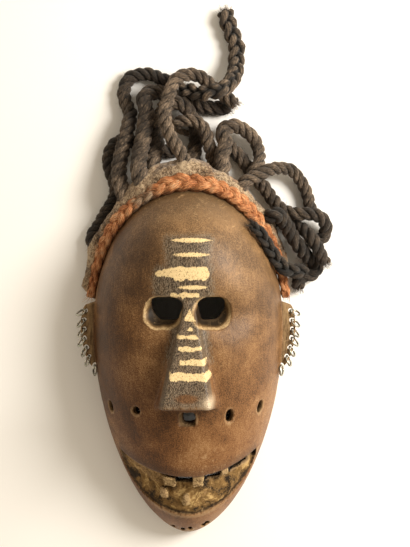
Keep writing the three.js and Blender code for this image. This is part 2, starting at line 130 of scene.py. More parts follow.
def noise(points, size, seed):
    """Smooth noise from -1 to 1 whose lumps are about a size wide"""
    table = np.random.default_rng(seed).uniform(-1, 1, (LATTICE, LATTICE, LATTICE))
    scaled = np.asarray(points, dtype=float) / size + 100.0
    cell = np.floor(scaled).astype(int)
    part = scaled - cell
    part = part * part * (3 - 2 * part)
    total = np.zeros(len(scaled))
    for corner in range(8):
        bits = np.array([corner & 1, (corner >> 1) & 1, (corner >> 2) & 1])
        weight = np.prod(np.where(bits, part, 1 - part), axis=1)
        at = (cell + bits) % LATTICE
        total += weight * table[at[:, 0], at[:, 1], at[:, 2]]
    return total


def lumps_of(points, *forms):
    """Noise summed over forms, each a height, a size, a seed and a number of finer and finer layers"""
    total = np.zeros(len(points))
    for height, size, seed, layers in forms:
        for layer in range(layers):
            total += height * noise(points, size / 2**layer, seed + layer) / 2**layer
    return total


# Shader building


def feed(tree, socket, value):
    if isinstance(value, bpy.types.NodeSocket):
        tree.links.new(value, socket)
    elif socket.type == "RGBA" and len(value) == 3:
        socket.default_value = (*value, 1.0)
    else:
        socket.default_value = value


def add_node(tree, kind, inputs, **settings):
    """New node with its settings, and with values or links for its inputs"""
    node = tree.nodes.new("ShaderNode" + kind)
    for key, value in settings.items():
        setattr(node, key, value)
    for key, value in inputs.items():
        feed(tree, node.inputs[key], value)
    return node


class Shader:
    """Node tree of one material, with short names for the nodes used here"""

    def __init__(self, name):
        self.material = bpy.data.materials.new(name)
        self.material.use_nodes = True
        self.tree = self.material.node_tree
        self.tree.nodes.clear()
        self.surface = self.tree.nodes.new("ShaderNodeBsdfPrincipled")
        self.node("OutputMaterial", {"Surface": self.surface.outputs["BSDF"]})

    def node(self, kind, inputs, **settings):
        return add_node(self.tree, kind, inputs, **settings)

    def attribute(self, name):
        return self.node("Attribute", {}, attribute_name=name).outputs["Fac"]

    def place(self):
        """Position in the frame, in metres: the pieces have no transform of their own"""
        return self.node("TexCoord", {}).outputs["Object"]

    def scaled(self, vector, scale):
        return self.node("Mapping", dict(Vector=vector, Scale=scale)).outputs["Vector"]

    def noise(self, vector, scale, detail=3.0, roughness=0.55, distortion=0.0):
        values = dict(Vector=vector, Scale=scale, Detail=detail, Roughness=roughness, Distortion=distortion)
        return self.node("TexNoise", values).outputs["Fac"]

    def streaks(self, along, around, scale):
        """Noise drawn out along the strands of a rope or plait"""
        values = {
            0: self.times(self.attribute("along"), along),
            1: self.times(self.attribute("around"), around),
            2: self.attribute("strand"),
        }
        return self.noise(self.node("CombineXYZ", values).outputs[0], scale, 4.0, 0.7)

    def math(self, operation, values, clamp=False):
        """Values joined in turn by one operation"""
        result = values[0]
        for order, value in enumerate(values[1:], 2):
            settings = dict(operation=operation, use_clamp=clamp and order == len(values))
            result = self.node("Math", {0: result, 1: value}, **settings).outputs[0]
        return result

    def add(self, *values, clamp=False):
        return self.math("ADD", values, clamp)

    def times(self, *values, clamp=False):
        return self.math("MULTIPLY", values, clamp)

    def span(self, value, low, high, to_low=0.0, to_high=1.0):
        """Value carried from one range to another, held at its ends"""
        values = {"Value": value, "From Min": low, "From Max": high, "To Min": to_low, "To Max": to_high}
        return self.node("MapRange", values, interpolation_type="SMOOTHSTEP").outputs["Result"]

    def swing(self, value, reach, low=0.3, high=0.7):
        """Value carried from a range to minus and plus a reach"""
        return self.span(value, low, high, -reach, reach)

    def mix(self, share, first, second):
        return self.node("Mix", {0: share, 6: first, 7: second}, data_type="RGBA").outputs[2]

    def layered(self, colour, *layers):
        """Colour with others laid over it in turn, each by its own share"""
        for share, over in layers:
            colour = self.mix(share, colour, over)
        return colour

    def finish(self, colour, roughness, relief, specular=0.5, metallic=0.0, sheen=(0.0, 0.5)):
        """Material with these surface values; its relief is a height, a strength and a distance"""
        height, strength, distance = relief
        bump = self.node("Bump", dict(Height=height, Strength=strength, Distance=distance))
        values = {
            "Base Color": colour, "Roughness": roughness, "Specular IOR Level": specular,
            "Metallic": metallic, "Sheen Weight": sheen[0], "Sheen Roughness": sheen[1],
            "Normal": bump.outputs["Normal"],
        }
        for name, value in values.items():
            feed(self.tree, self.surface.inputs[name], value)
        return self.material


# Ropes of the hair: the routes of the model, in millimetres

HELIX_SHARE = 0.536
STRAND_SHARE = 0.464
PLAIT_STRAND = 0.42
ROPE_STEP = 0.7
ROUTE_POINTS = 40
STRAND_SIDES = 24
LAY_DIAMETERS = 2.15
YARN_LEAN = 0.6
RIDGES = 7
RIDGE_DEPTH = 0.085
STRAND_NOISE = 0.2

# Where the painted shade in a rope's or the braid's grooves begins, and over how much of its radius
ROPE_GROOVE_SHADE = (0.93, 0.28)
PLAIT_GROOVE_SHADE = (0.42, 0.4)

# Loose fibres: points of each, how far they may stray, number at a frayed end and to a millimetre of rope
FIBRE_STEPS = 6
FIBRE_REACH = 1.6
FRAYED_FIBRES = 70
FIBRES_PER_MM = 1.3

ROPES = [
    dict(
        name="rope_outer_left", root=(-67, 42, 7), swell=(1.1, 1.25), diameter=8.0, tone=0.25,
        far_end="object",
        points=[
            (-69, 50, 6), (-65, 57, 5), (-60, 66, 5), (-55, 74, 5), (-52, 81, 5), (-53, 89, 5),
            (-56, 98, 5), (-57, 106, 5), (-55, 113, 5), (-50, 118, 5), (-44, 119, 5), (-37, 117.5, 5),
            (-30, 114.5, 5), (-22, 112, 5), (-15, 111.5, 5), (-9, 111, 5),
        ],
    ),
    dict(
        name="rope_left_loop", root=(-42.5, 71, 19), swell=(1.3, 1.05), diameter=8.8, tone=0.6,
        far_tone=0.1,
        points=[
            (-46.2, 83.6, 20.5), (-48, 91, 18), (-48, 101, 16), (-46, 111, 15), (-44, 119, 14.5),
            (-42, 129, 12), (-41, 137, 8), (-44, 144, 5.5), (-46, 151, 5), (-45, 158, 5), (-41, 164, 5),
            (-34, 166, 5), (-27, 166, 5), (-20, 163, 5), (-13, 161, 5),
        ],
    ),
    dict(
        name="rope_left_front", root=(-31, 83, 27), swell=(1.38, 1.2), diameter=8.8, tone=0.5, far_tone=0.2,
        points=[
            (-33.3, 93.2, 27.5), (-34, 98, 25), (-33, 108, 22), (-31, 118, 20.5), (-30, 128, 18.5),
            (-29, 138, 17), (-31, 144, 16), (-29, 150, 14), (-24, 152, 11), (-18, 152, 7), (-12, 151, 5),
            (-5, 148, 5), (2, 146, 5), (10, 143, 5), (17, 142, 5), (24, 142, 5), (29, 142, 5),
        ],
    ),
    dict(
        name="rope_front", root=(-1, 95, 30), swell=(1.08, 1.05), diameter=8.8, tone=0.62, far_tone=0.45,
        points=[
            (-3, 103, 31), (-7, 110, 29), (-12, 118, 28), (-15, 127, 28), (-16, 135, 27), (-14, 143, 26),
            (-12, 150, 25), (-10, 156, 23), (-5, 161, 20), (2, 163, 17), (8, 162, 15.5), (14, 158, 14.5),
            (19, 153, 14.5), (26, 148, 14.5), (33, 143, 14.5),
        ],
    ),
    dict(
        name="rope_tail_plait", swell=(1.15, 1.3), diameter=9.2, tone=0.45, plait=9.0,
        points=[
            (-6, 153.5, 13.8), (-1, 152.5, 15.5), (3, 151, 17), (9, 149, 20.5), (15, 149, 24.5),
            (22, 150, 26), (28, 155, 21), (33, 166, 11), (34, 177, 6), (34, 187, 5), (31, 195, 5),
            (28, 203, 5), (26, 211, 5),
        ],
    ),
    dict(
        name="rope_middle", root=(-22.5, 90, 24), tip=(3, 100, 8), swell=(1.25, 1.25), diameter=8.6,
        tone=0.45, far_end="object",
        points=[
            (-24, 100, 22), (-24, 103.5, 19.5), (-22, 111, 16), (-22, 120, 14), (-22, 129, 14),
            (-18, 137, 14.5), (-13, 143, 15), (-7, 144, 15), (-2, 141, 14), (1, 136, 11), (4.4, 130, 6.5),
            (6, 124, 5), (4.8, 115, 5), (3.5, 106, 6),
        ],
    ),
    dict(
        name="rope_curl", tip=(19, 94, 10), swell=(1.0, 1.25), diameter=8.4, tone=0.6, exit_far=True,
        points=[
            (-9, 128, 18), (-5, 130, 19), (1, 130.5, 20), (7, 129, 20), (12, 123, 18), (14, 115, 15.5),
            (16, 111, 13), (17, 105.5, 10), (18, 100.6, 9),
        ],
    ),
    dict(
        name="rope_thin_strand", diameter=4.6, tone=0.9,
        points=[
            (-21, 146.4, 2.8), (-18, 141.8, 2.7), (-15.5, 137, 2.7), (-13.5, 132.5, 2.7), (-10.5, 129, 2.7),
            (-7, 126.5, 2.7), (-3, 125, 2.7), (-0.2, 124.4, 2.7),
        ],
    ),
    dict(
        name="rope_arch", root=(22.5, 90, 22), swell=(1.3, 1.0), diameter=8.8, tone=0.55, far_end="object",
        points=[
            (24, 99.2, 20), (23, 102.5, 20), (24, 108, 20), (26, 114, 19), (24, 121, 18), (25, 125, 16),
            (29, 127, 15), (33, 128, 13), (38, 126, 11), (44, 122, 9), (48, 117, 7), (50, 110, 8),
            (50, 103, 12.5), (47, 97, 15), (43, 93, 15),
        ],
    ),
    dict(
        name="rope_long_right", swell=(1.12, 1.08), diameter=8.8, tone=0.45, far_tone=0.25,
        points=[
            (27, 118, 6), (30, 114, 5), (35, 109, 5), (40, 103, 5), (44, 97, 5), (49, 91, 5), (55, 84, 5),
            (59, 78, 6), (64, 71, 9), (71, 67, 12), (78, 66, 14), (86, 66, 14.5), (92, 64, 14),
            (97, 58, 10), (96, 51, 6), (91, 47, 5), (87, 47, 5),
        ],
    ),
    dict(
        name="rope_hook", root=(35, 81, 26), swell=(1.05, 1.0), diameter=8.8, tone=0.4, far_end="object",
        points=[
            (40, 88, 26), (44, 90, 25), (49, 92, 23.5), (56, 96, 20), (64, 98, 14.5), (73, 97, 9),
            (79, 91, 6), (84, 82, 5), (86, 74, 5), (88, 67, 5),
        ],
    ),
    dict(
        name="rope_lower_right", root=(55, 58, 6), swell=(1.15, 1.1), diameter=8.6, tone=0.2,
        points=[
            (62, 62.5, 5), (68, 61, 5), (74, 59, 6), (80, 56, 9), (85, 51, 14.5), (89, 45, 15),
            (92.5, 38, 14), (96, 31, 14),
        ],
    ),
    dict(
        name="rope_fold", root=(53, 62, 18), swell=(1.15, 1.1), diameter=9.0, tone=0.15,
        points=[
            (60, 65, 25), (64, 63, 21), (69, 57, 16), (73, 50, 14.5), (78, 43, 14.5), (83, 37, 9),
            (89, 32, 5), (91, 27, 5), (86.5, 23, 5), (81, 22, 5), (78.3, 19, 5), (77.8, 14, 5),
        ],
    ),
    dict(
        name="rope_side_plait", frayed_start=True, swell=(0.8, 1.1), diameter=9.6, tone=0.05, plait=9.5,
        points=[
            (43.2, 57, 41), (46.2, 54.2, 40.5), (50.2, 49.7, 38.3), (53.8, 44.2, 34.6), (57.5, 38.7, 30.5),
            (61, 33.2, 27.5), (65.5, 28.7, 24.5), (71, 26, 22), (77, 25.8, 18.5), (80.5, 24.4, 15),
        ],
    ),
]


def between(first, second, t, start, end):
    """Mix of two points or lines as t runs from a start to an end"""
    return (end - t) / (end - start) * first + (t - start) / (end - start) * second


def smooth_route(points, step):
    """Points a step apart on one smooth curve through the given ones, and how far along each is"""
    points = np.asarray(points, dtype=float)
    ends = np.vstack([2 * points[0] - points[1], points, 2 * points[-1] - points[-2]])
    dense = []
    for i in range(1, len(ends) - 2):
        p0, p1, p2, p3 = ends[i - 1:i + 3]
        t1 = math.sqrt(np.linalg.norm(p1 - p0))
        t2 = t1 + math.sqrt(np.linalg.norm(p2 - p1))
        t3 = t2 + math.sqrt(np.linalg.norm(p3 - p2))
        t = np.linspace(t1, t2, 40, endpoint=False)[:, None]
        middle = between(p1, p2, t, t1, t2)
        before = between(between(p0, p1, t, 0.0, t1), middle, t, 0.0, t2)
        after = between(middle, between(p2, p3, t, t2, t3), t, t1, t3)
        dense.append(between(before, after, t, t1, t2))
    dense = np.vstack([*dense, points[-1:]])
    length = np.concatenate([[0], np.cumsum(np.linalg.norm(np.diff(dense, axis=0), axis=1))])
    count = max(2, int(round(length[-1] / step)))
    at = np.linspace(0, length[-1], count + 1)
    route = np.stack([np.interp(at, length, dense[:, k]) for k in range(3)], axis=1)
    return route, at


def carried_frames(route):
    """Directions along a route, and two across it that turn as little as they can"""
    along = unit(np.gradient(route, axis=0))
    side = np.cross(along[0], (0, 0, 1.0))
    if np.linalg.norm(side) < 0.1:
        side = np.cross(along[0], (1.0, 0, 0))
    sides = np.zeros_like(route)
    for i, direction in enumerate(along):
        side = unit(side - direction * np.dot(side, direction))
        sides[i] = side
    return along, sides, np.cross(along, sides)


def loft_faces(rows, sides):
    """Faces round the rows of a closed body, whose two end points follow its rows"""
    row = np.arange(rows - 1)[:, None] * sides
    k = np.arange(sides)[None, :]
    after = (k + 1) % sides
    quads = np.stack([row + k, row + after, row + after + sides, row + k + sides], axis=2)
    faces = quads.reshape(-1, 4).tolist()
    first, last = rows * sides, rows * sides + 1
    for i in range(sides):
        j = (i + 1) % sides
        faces.append([first, j, i])
        faces.append([last, (rows - 1) * sides + i, (rows - 1) * sides + j])
    return faces


def tube(centres, radii):
    """Closed tube along a line, with a radius for each station and turn"""
    _, across, up = carried_frames(centres)
    turns = np.linspace(0, FULL_TURN, radii.shape[1], endpoint=False)[None, :, None]
    ring = across[:, None, :] * np.cos(turns) + up[:, None, :] * np.sin(turns)
    points = (centres[:, None, :] + ring * radii[:, :, None]).reshape(-1, 3)
    return np.vstack([points, centres[:1], centres[-1:]]), loft_faces(*radii.shape)


class Parts:
    """Strands and fibres gathered into one mesh, with their attributes side by side"""

    def __init__(self):
        self.points = []
        self.faces = []
        self.values = {key: [] for key in ("tone", "along", "around", "hollow", "strand", "groove")}
        self.count = 0

    def add(self, points, faces, **values):
        self.points.append(points)
        self.faces.extend([[i + self.count for i in face] for face in faces])
        for key, store in self.values.items():
            store.append(np.broadcast_to(np.asarray(values[key], dtype=float), len(points)))
        self.count += len(points)

    def make(self, name, lowest, material, gap=None):
        """Piece of all the parts, kept above a lowest height and off the wood by a gap"""
        points = np.vstack(self.points)
        if gap is not None:
            points = kept_off_wood(points, gap)
        points[:, 2] = np.maximum(points[:, 2], lowest)
        values = {key: np.concatenate(store) for key, store in self.values.items()}
        return make_mesh(name, points, self.faces, material, values)


def by_point(values):
    """Values of a strand's stations, one for each point of its tube"""
    return np.concatenate([np.repeat(values, STRAND_SIDES, axis=0), values[:1], values[-1:]])


def add_strand(parts, centres, at, radius, seed, tone, order, axis, reach,
               above=None, yarns=RIDGES, depth=RIDGE_DEPTH, lean=YARN_LEAN):
    """One strand of a rope, with the ridges of its yarns and uneven thickness"""
    thin = float(radius.mean())
    wobble = 1 + 0.05 * noise(np.stack([at, at * 0 + order * 9, at * 0 + seed * 7], 1), 9.0, seed)
    taper = np.clip(np.minimum(at, at[-1] - at) / 1.4 + 0.55, 0, 1)
    phase = np.random.default_rng(seed * 10 + order).uniform(0, FULL_TURN)
    twist = np.linspace(0, FULL_TURN, STRAND_SIDES, endpoint=False)[None, :] + at[:, None] * lean / thin
    wind = twist * yarns + phase
    points, faces = tube(centres, (radius * wobble * taper)[:, None] * (1 + depth * np.cos(wind)))
    twist, wind = [np.append(rows, rows[[0, -1], 0]) for rows in (twist, wind)]
    rough = STRAND_NOISE * noise(points, 1.1, seed + 40)
    points = points + unit(points - by_point(centres)) * rough[:, None]
    from_axis = points - by_point(axis)
    if above is None:
        height, (start, width) = np.linalg.norm(from_axis, axis=1), ROPE_GROOVE_SHADE
    else:
        height, (start, width) = np.sum(from_axis * by_point(above), axis=1), PLAIT_GROOVE_SHADE
    # Painted shade: the troughs between the yarns and the grooves between the strands are marked here to be
    # coloured dark
    parts.add(
        points, faces, tone=by_point(tone), along=by_point(at), around=twist,
        hollow=0.5 - 0.5 * np.cos(wind), strand=order + seed * 3.7,
        groove=np.clip((start - height / by_point(reach)) / width, 0, 1),
    )


def kept_near(line, route, limit):
    """Points of a line drawn in to a limit from the nearest point of a route"""
    away = line[:, None, :] - route[None, :, :]
    nearest = route[np.linalg.norm(away, axis=2).argmin(axis=1)]
    spread = line - nearest
    size = np.linalg.norm(spread, axis=1)[:, None] + TINY
    return nearest + spread * np.minimum(1, limit / size)


def add_fibre(parts, start, direction, length, rng, tone, width, near=None):
    """One loose fibre: a thin bent hair that tapers to its tip"""
    bend = rng.normal(0, 1, 3)
    bend -= direction * np.dot(bend, direction)
    curl = rng.normal(0, 1, 3)
    t = np.linspace(0, 1, FIBRE_STEPS)[:, None]
    line = start + direction * t * length
    line = line + bend * t**2 * length * 0.22 + curl * np.sin(t * 5) * length * 0.03
    line[:, 2] = np.maximum(line[:, 2], 0.25)
    if near is not None:
        line = kept_near(line, *near)
    points, faces = tube(line, np.repeat(width * np.linspace(1, 0.35, FIBRE_STEPS)[:, None], 3, axis=1))
    parts.add(points, faces, tone=tone, along=0, around=0, hollow=0.4, strand=rng.uniform(0, 50), groove=0)


def rope_mesh(rope, seed):
    diameter = rope["diameter"]
    stops = [stop for stop in (rope.get("root"), *rope["points"], rope.get("tip")) if stop]
    route, at = smooth_route(stops, ROPE_STEP)
    along, across, up = carried_frames(route)
    share = at / at[-1]
    first, last = rope.get("swell", (1.0, 1.0))
    radius = diameter / 2 * (first + (last - first) * share**2 * (3 - 2 * share))
    tone = rope["tone"] + (rope.get("far_tone", rope["tone"]) - rope["tone"]) * share
    rng = np.random.default_rng(seed)
    parts = Parts()
    start_turn = rng.uniform(0, FULL_TURN)
    near = (route, 0.65 * diameter + FIBRE_REACH)
    for order in range(3):
        turn = start_turn + order * FULL_TURN / 3
        if "plait" in rope:
            turn = turn + FULL_TURN * at / (3 * rope["plait"])
            strand = radius * PLAIT_STRAND
            sway = (radius - strand) * 1.02 * np.sin(turn)
            lift = (radius - strand) * 0.72 * np.sin(2 * turn)
        else:
            turn = turn + FULL_TURN * at / (diameter * LAY_DIAMETERS)
            strand = radius * STRAND_SHARE
            sway = radius * HELIX_SHARE * np.cos(turn)
            lift = radius * HELIX_SHARE * np.sin(turn)
        centres = route + across * sway[:, None] + up * lift[:, None]
        add_strand(parts, centres, at, strand, seed, tone, order, route, radius)

    def outward(i):
        turn = rng.uniform(0, FULL_TURN)
        return across[i] * math.cos(turn) + up[i] * math.sin(turn)

    for _ in range(int(at[-1] * FIBRES_PER_MM)):
        i = rng.integers(0, len(route))
        out = outward(i)
        lean = unit(out * rng.uniform(0.15, 0.8) + along[i] * rng.normal(0, 1))
        length = rng.uniform(1.5, 4.2)
        start = route[i] + out * radius[i] * 0.86
        add_fibre(parts, start, lean, length, rng, tone[i] + rng.uniform(-0.1, 0.35), 0.09, near)
    far_end, exit_far = rope.get("far_end", "bare"), rope.get("exit_far")
    ends = [(0, -1)] if exit_far else [(len(route) - 1, 1)]
    if rope.get("frayed_start"):
        ends.append((0, -1))
    for i, sense in ends if far_end == "bare" else ():
        for _ in range(FRAYED_FIBRES):
            out = outward(i)
            start = route[i] + out * radius[i] * rng.uniform(0, 0.75) - along[i] * sense * 1.5
            lean = unit(along[i] * sense + out * rng.uniform(0, 0.5))
            length = rng.uniform(2.5, 6.5)
            add_fibre(parts, start, lean, length, rng, tone[i] + rng.uniform(0, 0.3), 0.16, near)
    piece = parts.make(rope["name"] + "_twist", 0.1, rope_material)
    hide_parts(rope["name"])
    picks = np.linspace(0, len(route) - 1, ROUTE_POINTS).round().astype(int)
    path = metres(route[picks])


def make_rope_material():
    shader = Shader("rope_fibre")
    span, attribute = shader.span, shader.attribute
    fibres = shader.streaks(0.12, 2.4, 7.0)
    patches = shader.noise(shader.place(), 120.0, 3.0, 0.6)
    shade = shader.add(
        attribute("tone"), shader.swing(patches, 0.24), shader.swing(fibres, 0.5, 0.28, 0.72), clamp=True)
    colour = shader.layered(
        (0.007, 0.005, 0.0035),
        (span(shade, 0.0, 0.5), (0.060, 0.040, 0.025)),
        (span(shade, 0.45, 1.1), (0.38, 0.275, 0.185)),
        # Painted shade in the troughs between yarns and in the grooves between strands
        (span(attribute("hollow"), 0.35, 1.0, 0.0, 0.7), (0.012, 0.009, 0.006)),
        (span(attribute("groove"), 0.1, 1.0, 0.0, 0.93), (0.004, 0.003, 0.002)),
    )
    return shader.finish(colour, 0.8, (fibres, 0.9, 0.0006), specular=0.3, sheen=(0.08, 0.6))


rope_material = make_rope_material()
for rope_order, hair_rope in enumerate(ROPES, 1):
    rope_mesh(hair_rope, rope_order)


# Carved wood: a field of distances to its surface, in millimetres

WALL = 9.0
DOME_HEIGHT = 69.0
DOME_TILT = 0.065
DOME_POWER = 2.6
FOREHEAD_SWELL = 5.0
FOREHEAD_Y = 45.0
FOREHEAD_LENGTH = 30.0
FOREHEAD_WIDTH = 42.0
ORBIT_DEPTH = 5.0
ORBIT_X = 24.0
ORBIT_Y = -3.0
ORBIT_LENGTH = 13.0
ORBIT_WIDTH = 20.0

EYE_INNER_X = 3.2
EYE_OUTER_X = 27.6
EYE_TOP_Y = 9.1
EYE_BOTTOM_Y = -12.2
EYE_CORNER = 9.5
EYE_BEVEL_OUT = 4.6
EYE_BEVEL_DOWN = 6.6
EYE_SLANT = 7.0
RIGHT_EYE_WIDER = 1.5
EYE_BEVEL_DEPTH = 7.0

NOSE_TOP_Y = 4.0
NOSE_TIP_Y = -59.4
NOSE_TOP_HALF = 3.4
NOSE_TOP_SHIFT = 2.1
NOSE_TIP_HALF = 15.0
NOSE_TOP_Z = 69.0
NOSE_TIP_Z = 90.0
NOSE_SIDE_SLOPE = 0.17
NOSE_UNDER_SLOPE = 0.12
NOSTRIL_WIDTH = 11.0
NOSTRIL_LENGTH = 9.7
NOSTRIL_Y = -70.2
NOSTRIL_WORN = 3.0
NOSTRIL_WORN_DEPTH = 7.0

MOUTH_HALF_WIDTH = 47.0
MOUTH_CORNER_Y = -95.0
MOUTH_DROP = 44.4
MOUTH_POWER = 1.8
LIP_Y = -110.0
LIP_RISE = 14.58
LIP_DEPTH = 10.5
LOWER_LIP_DEPTH = 2.2
MOUTH_BACKING = 7.0
MOUTH_BACKING_Y = -116.0
MOUTH_BACKING_LENGTH = 24.0
MOUTH_BACKING_WIDTH = 50.0
SLIT_WIDTH = 4.4
SLITS = [(-7.5, 3.1), (11.0, 21.7), (28.0, 40.0)]

# Tooth stubs: x, y, width, length
TEETH = [
    (-11.8, -114.2, 8.4, 7.6),
    (7.0, -114.0, 7.6, 9.0),
    (25.0, -108.0, 4.8, 4.6),
    (-1.0, -127.2, 4.0, 7.2),
    (-15.8, -123.0, 4.4, 8.0),
]
TOOTH_DEPTH = 1.2
MOUTH_WORN_X = -10.0
MOUTH_WORN_RISE = 7.5
MOUTH_WORN_WIDTH = 9.0

# Holes through the cheeks: x, y, width, length, lean in degrees
CHEEK_HOLES = [
    (-52.0, -65.2, 6.5, 7.8, -50.0),
    (-33.4, -65.3, 6.0, 5.5, -25.0),
    (27.8, -68.2, 5.6, 8.5, 22.0),
    (48.8, -64.8, 6.4, 8.5, 48.0),
]
CHIN_HOLE_XS = (-11.0, 1.0, 12.0)
CHIN_HOLE_Z = 7.0
CHIN_HOLE_DIAMETER = 3.2
CHIN_NOTCHES = [(-10.6, -152.4), (-3.6, -153.8), (1.3, -152.4), (10.4, -150.6), (12.9, -148.8)]
CHIN_NOTCH_RADIUS = 1.6
CHIN_NOTCH_DEPTH = 2.6

EAR_REACH = 74.4
EAR_HALF_WIDTH = 12.5
EAR_Y = -20.4
EAR_HALF_LENGTH = 25.0
EAR_POWER = 4.0
EAR_Z = 20.0
EAR_THICKNESS = 3.0
EAR_TAPER = 8.5
EAR_TAPER_Y = -15.0
EAR_TAPER_LENGTH = 29.0
RINGS_PER_EAR = 7
RING_SPACING = 6.3
RING_HOLE_INSET = 2.5
RING_HOLE_DIAMETER = 3.2

GRID_STEP = 1.0
SLOPE_REACH = 0.15
EDGE_REACH = 2.0
GRID_LOW = (-76.0, -165.0, -3.0)
GRID_HIGH = (76.0, 93.0, 94.0)


def bell(value, spread):
    return np.exp(-((value / spread) ** 2))


def smooth_union(first, second, blend):
    share = np.clip(0.5 + 0.5 * (second - first) / blend, 0, 1)
    return second + (first - second) * share - blend * share * (1 - share)


def smooth_both(first, second, blend):
    return -smooth_union(-first, -second, blend)


def smooth_cut(body, cutter, blend):
    return smooth_both(body, -cutter, blend)


def rim_radius(x, dy):
    """Distance from the outline's centre to the back rim, in the direction of a point"""
    away = np.hypot(x, dy) + 1e-6
    upper = dy > 0
    reach = np.where(upper, CROWN_REACH, CHIN_REACH)
    power = np.where(upper, CROWN_POWER, JAW_POWER)
    across = np.abs(x) / away / FACE_HALF_WIDTH
    along = np.abs(dy) / away / reach
    return np.maximum(across**power + along**power, 1e-6) ** (-1 / power)


def dome_share(x, y, margin):
    dy = y - CENTRE_Y
    return np.hypot(x, dy) / (rim_radius(x, dy) + margin)


def crest_height(y):
    return DOME_HEIGHT + DOME_TILT * y


def dome_relief(x, y, share):
    """Swell of the forehead less the hollows round the eyes, fading out at the rim"""
    base = crest_height(y) * np.sqrt(np.clip(1 - share**DOME_POWER, 0, None))
    swell = FOREHEAD_SWELL * bell(y - FOREHEAD_Y, FOREHEAD_LENGTH) * bell(x, FOREHEAD_WIDTH)
    orbit = ORBIT_DEPTH * bell(y - ORBIT_Y, ORBIT_LENGTH)
    orbit = orbit * bell(np.abs(x) - ORBIT_X, ORBIT_WIDTH)
    return np.minimum(1, 2 * base / DOME_HEIGHT) * (swell - orbit)


def outer_height(x, y):
    share = np.minimum(1, dome_share(x, y, 0.0))
    base = crest_height(y) * np.sqrt(1 - share**DOME_POWER)
    return base + dome_relief(x, y, share)


def dome_distance(x, y, z, margin=0.0, backing=0.0):
    """Near distance to the dome, or to one grown by a margin, from its implicit form"""
    dy = y - CENTRE_Y
    full = rim_radius(x, dy)
    shrink = full / (full + margin)
    share = dome_share(x, y, margin)
    scale = (DOME_HEIGHT + margin) / DOME_HEIGHT
    own_x, own_y = x * shrink, CENTRE_Y + dy * shrink
    crest = crest_height(own_y)
    height = (z + backing) / scale - dome_relief(own_x, own_y, share)
    value = (height / crest) ** 2 + share**DOME_POWER - 1
    half_step = 0.5
    slope_x, slope_y = [
        dome_share(x + a, y + b, margin) ** DOME_POWER - dome_share(x - a, y - b, margin) ** DOME_POWER
        for a, b in ((half_step, 0), (0, half_step))
    ]
    slope_z = 2 * height / crest**2 / scale
    slope = np.sqrt(slope_x**2 + slope_y**2 + slope_z**2)
    return value / np.maximum(slope, 0.5 / DOME_HEIGHT)


def ear_taper(y):
    return EAR_TAPER * np.maximum(0, (EAR_TAPER_Y - y) / EAR_TAPER_LENGTH) ** 2


def ear_edge(y):
    along = np.abs(y - EAR_Y) / EAR_HALF_LENGTH
    corner = EAR_HALF_WIDTH * (1 - (1 - along**EAR_POWER) ** (1 / EAR_POWER))
    return EAR_REACH - corner - ear_taper(y)


def ear_distance(x, y, z):
    centre_x = EAR_REACH - EAR_HALF_WIDTH
    across = np.abs(np.abs(x) + ear_taper(y) - centre_x) / EAR_HALF_WIDTH
    along = np.abs(y - EAR_Y) / EAR_HALF_LENGTH
    flat = ((across**EAR_POWER + along**EAR_POWER) ** (1 / EAR_POWER) - 1) * EAR_HALF_WIDTH
    thick = np.abs(z - EAR_Z) - EAR_THICKNESS / 2
    return smooth_both(flat, thick, 1.0)


def rounded_box(x, y, left, right, bottom, top, corner):
    """Distance to a rectangle with round corners, whose sides may vary from point to point"""
    qx = np.abs(x - (left + right) / 2) - (right - left) / 2 + corner
    qy = np.abs(y - (bottom + top) / 2) - (top - bottom) / 2 + corner
    outside = np.hypot(np.maximum(qx, 0), np.maximum(qy, 0))
    return outside + np.minimum(np.maximum(qx, qy), 0) - corner


def eye_distance(x, y, z, top_z):
    depth = np.clip((top_z - z) / EYE_BEVEL_DEPTH, 0, 1)
    right = EYE_OUTER_X + np.where(x > 0, RIGHT_EYE_WIDER, 0) - EYE_BEVEL_OUT * depth
    bottom = EYE_BOTTOM_Y + EYE_BEVEL_DOWN * depth
    corner = EYE_CORNER * (1 - 0.62 * depth)
    inner = EYE_INNER_X + np.where(x > 0, NOSE_TOP_SHIFT, -NOSE_TOP_SHIFT)
    box = rounded_box(np.abs(x), y, inner, right, bottom, EYE_TOP_Y, corner)
    slant = (np.abs(x) - right) * 0.8 + (bottom + EYE_SLANT - y) * 0.6
    return smooth_both(box, slant, 2.5)


def nose_form(y):
    """Half width, height and middle of the nose's front at a place down its length"""
    t = np.clip((y - NOSE_TOP_Y) / (NOSE_TIP_Y - NOSE_TOP_Y), 0, 1)
    half = NOSE_TOP_HALF + (NOSE_TIP_HALF - NOSE_TOP_HALF) * t
    return half, NOSE_TOP_Z + (NOSE_TIP_Z - NOSE_TOP_Z) * t, NOSE_TOP_SHIFT * (1 - t)


def nose_distance(x, y, z):
    half, front, middle = nose_form(y)
    rise = (NOSE_TIP_Z - NOSE_TOP_Z) / (NOSE_TOP_Y - NOSE_TIP_Y)
    below = front - z
    over = -below / math.hypot(1, rise)
    beside = (np.abs(x - middle) - half - NOSE_SIDE_SLOPE * below) / math.hypot(1, NOSE_SIDE_SLOPE)
    under = (NOSE_TIP_Y - NOSE_UNDER_SLOPE * below - y) / math.hypot(1, NOSE_UNDER_SLOPE)
    body = smooth_both(smooth_both(over, beside, 1.6), under, 1.4)
    return np.maximum(np.maximum(body, y - NOSE_TOP_Y), 40 - z)


def upper_lip(x):
    return LIP_Y + LIP_RISE * (x / MOUTH_HALF_WIDTH) ** 2


def lower_lip(x):
    share = np.minimum(1, np.abs(x) / MOUTH_HALF_WIDTH)
    drop = MOUTH_DROP * (1 - share**MOUTH_POWER) ** (1 / MOUTH_POWER)
    return np.minimum(MOUTH_CORNER_Y - drop, upper_lip(x) - 0.4)


def mouth_worn(x, y, length):
    """Share by which the mouth's left part is worn to a slope, under the upper lip"""
    below_lip = upper_lip(x) - y
    return np.clip((MOUTH_WORN_X - x) / MOUTH_WORN_WIDTH, 0, 1) * np.clip(1 - below_lip / length, 0, 1)


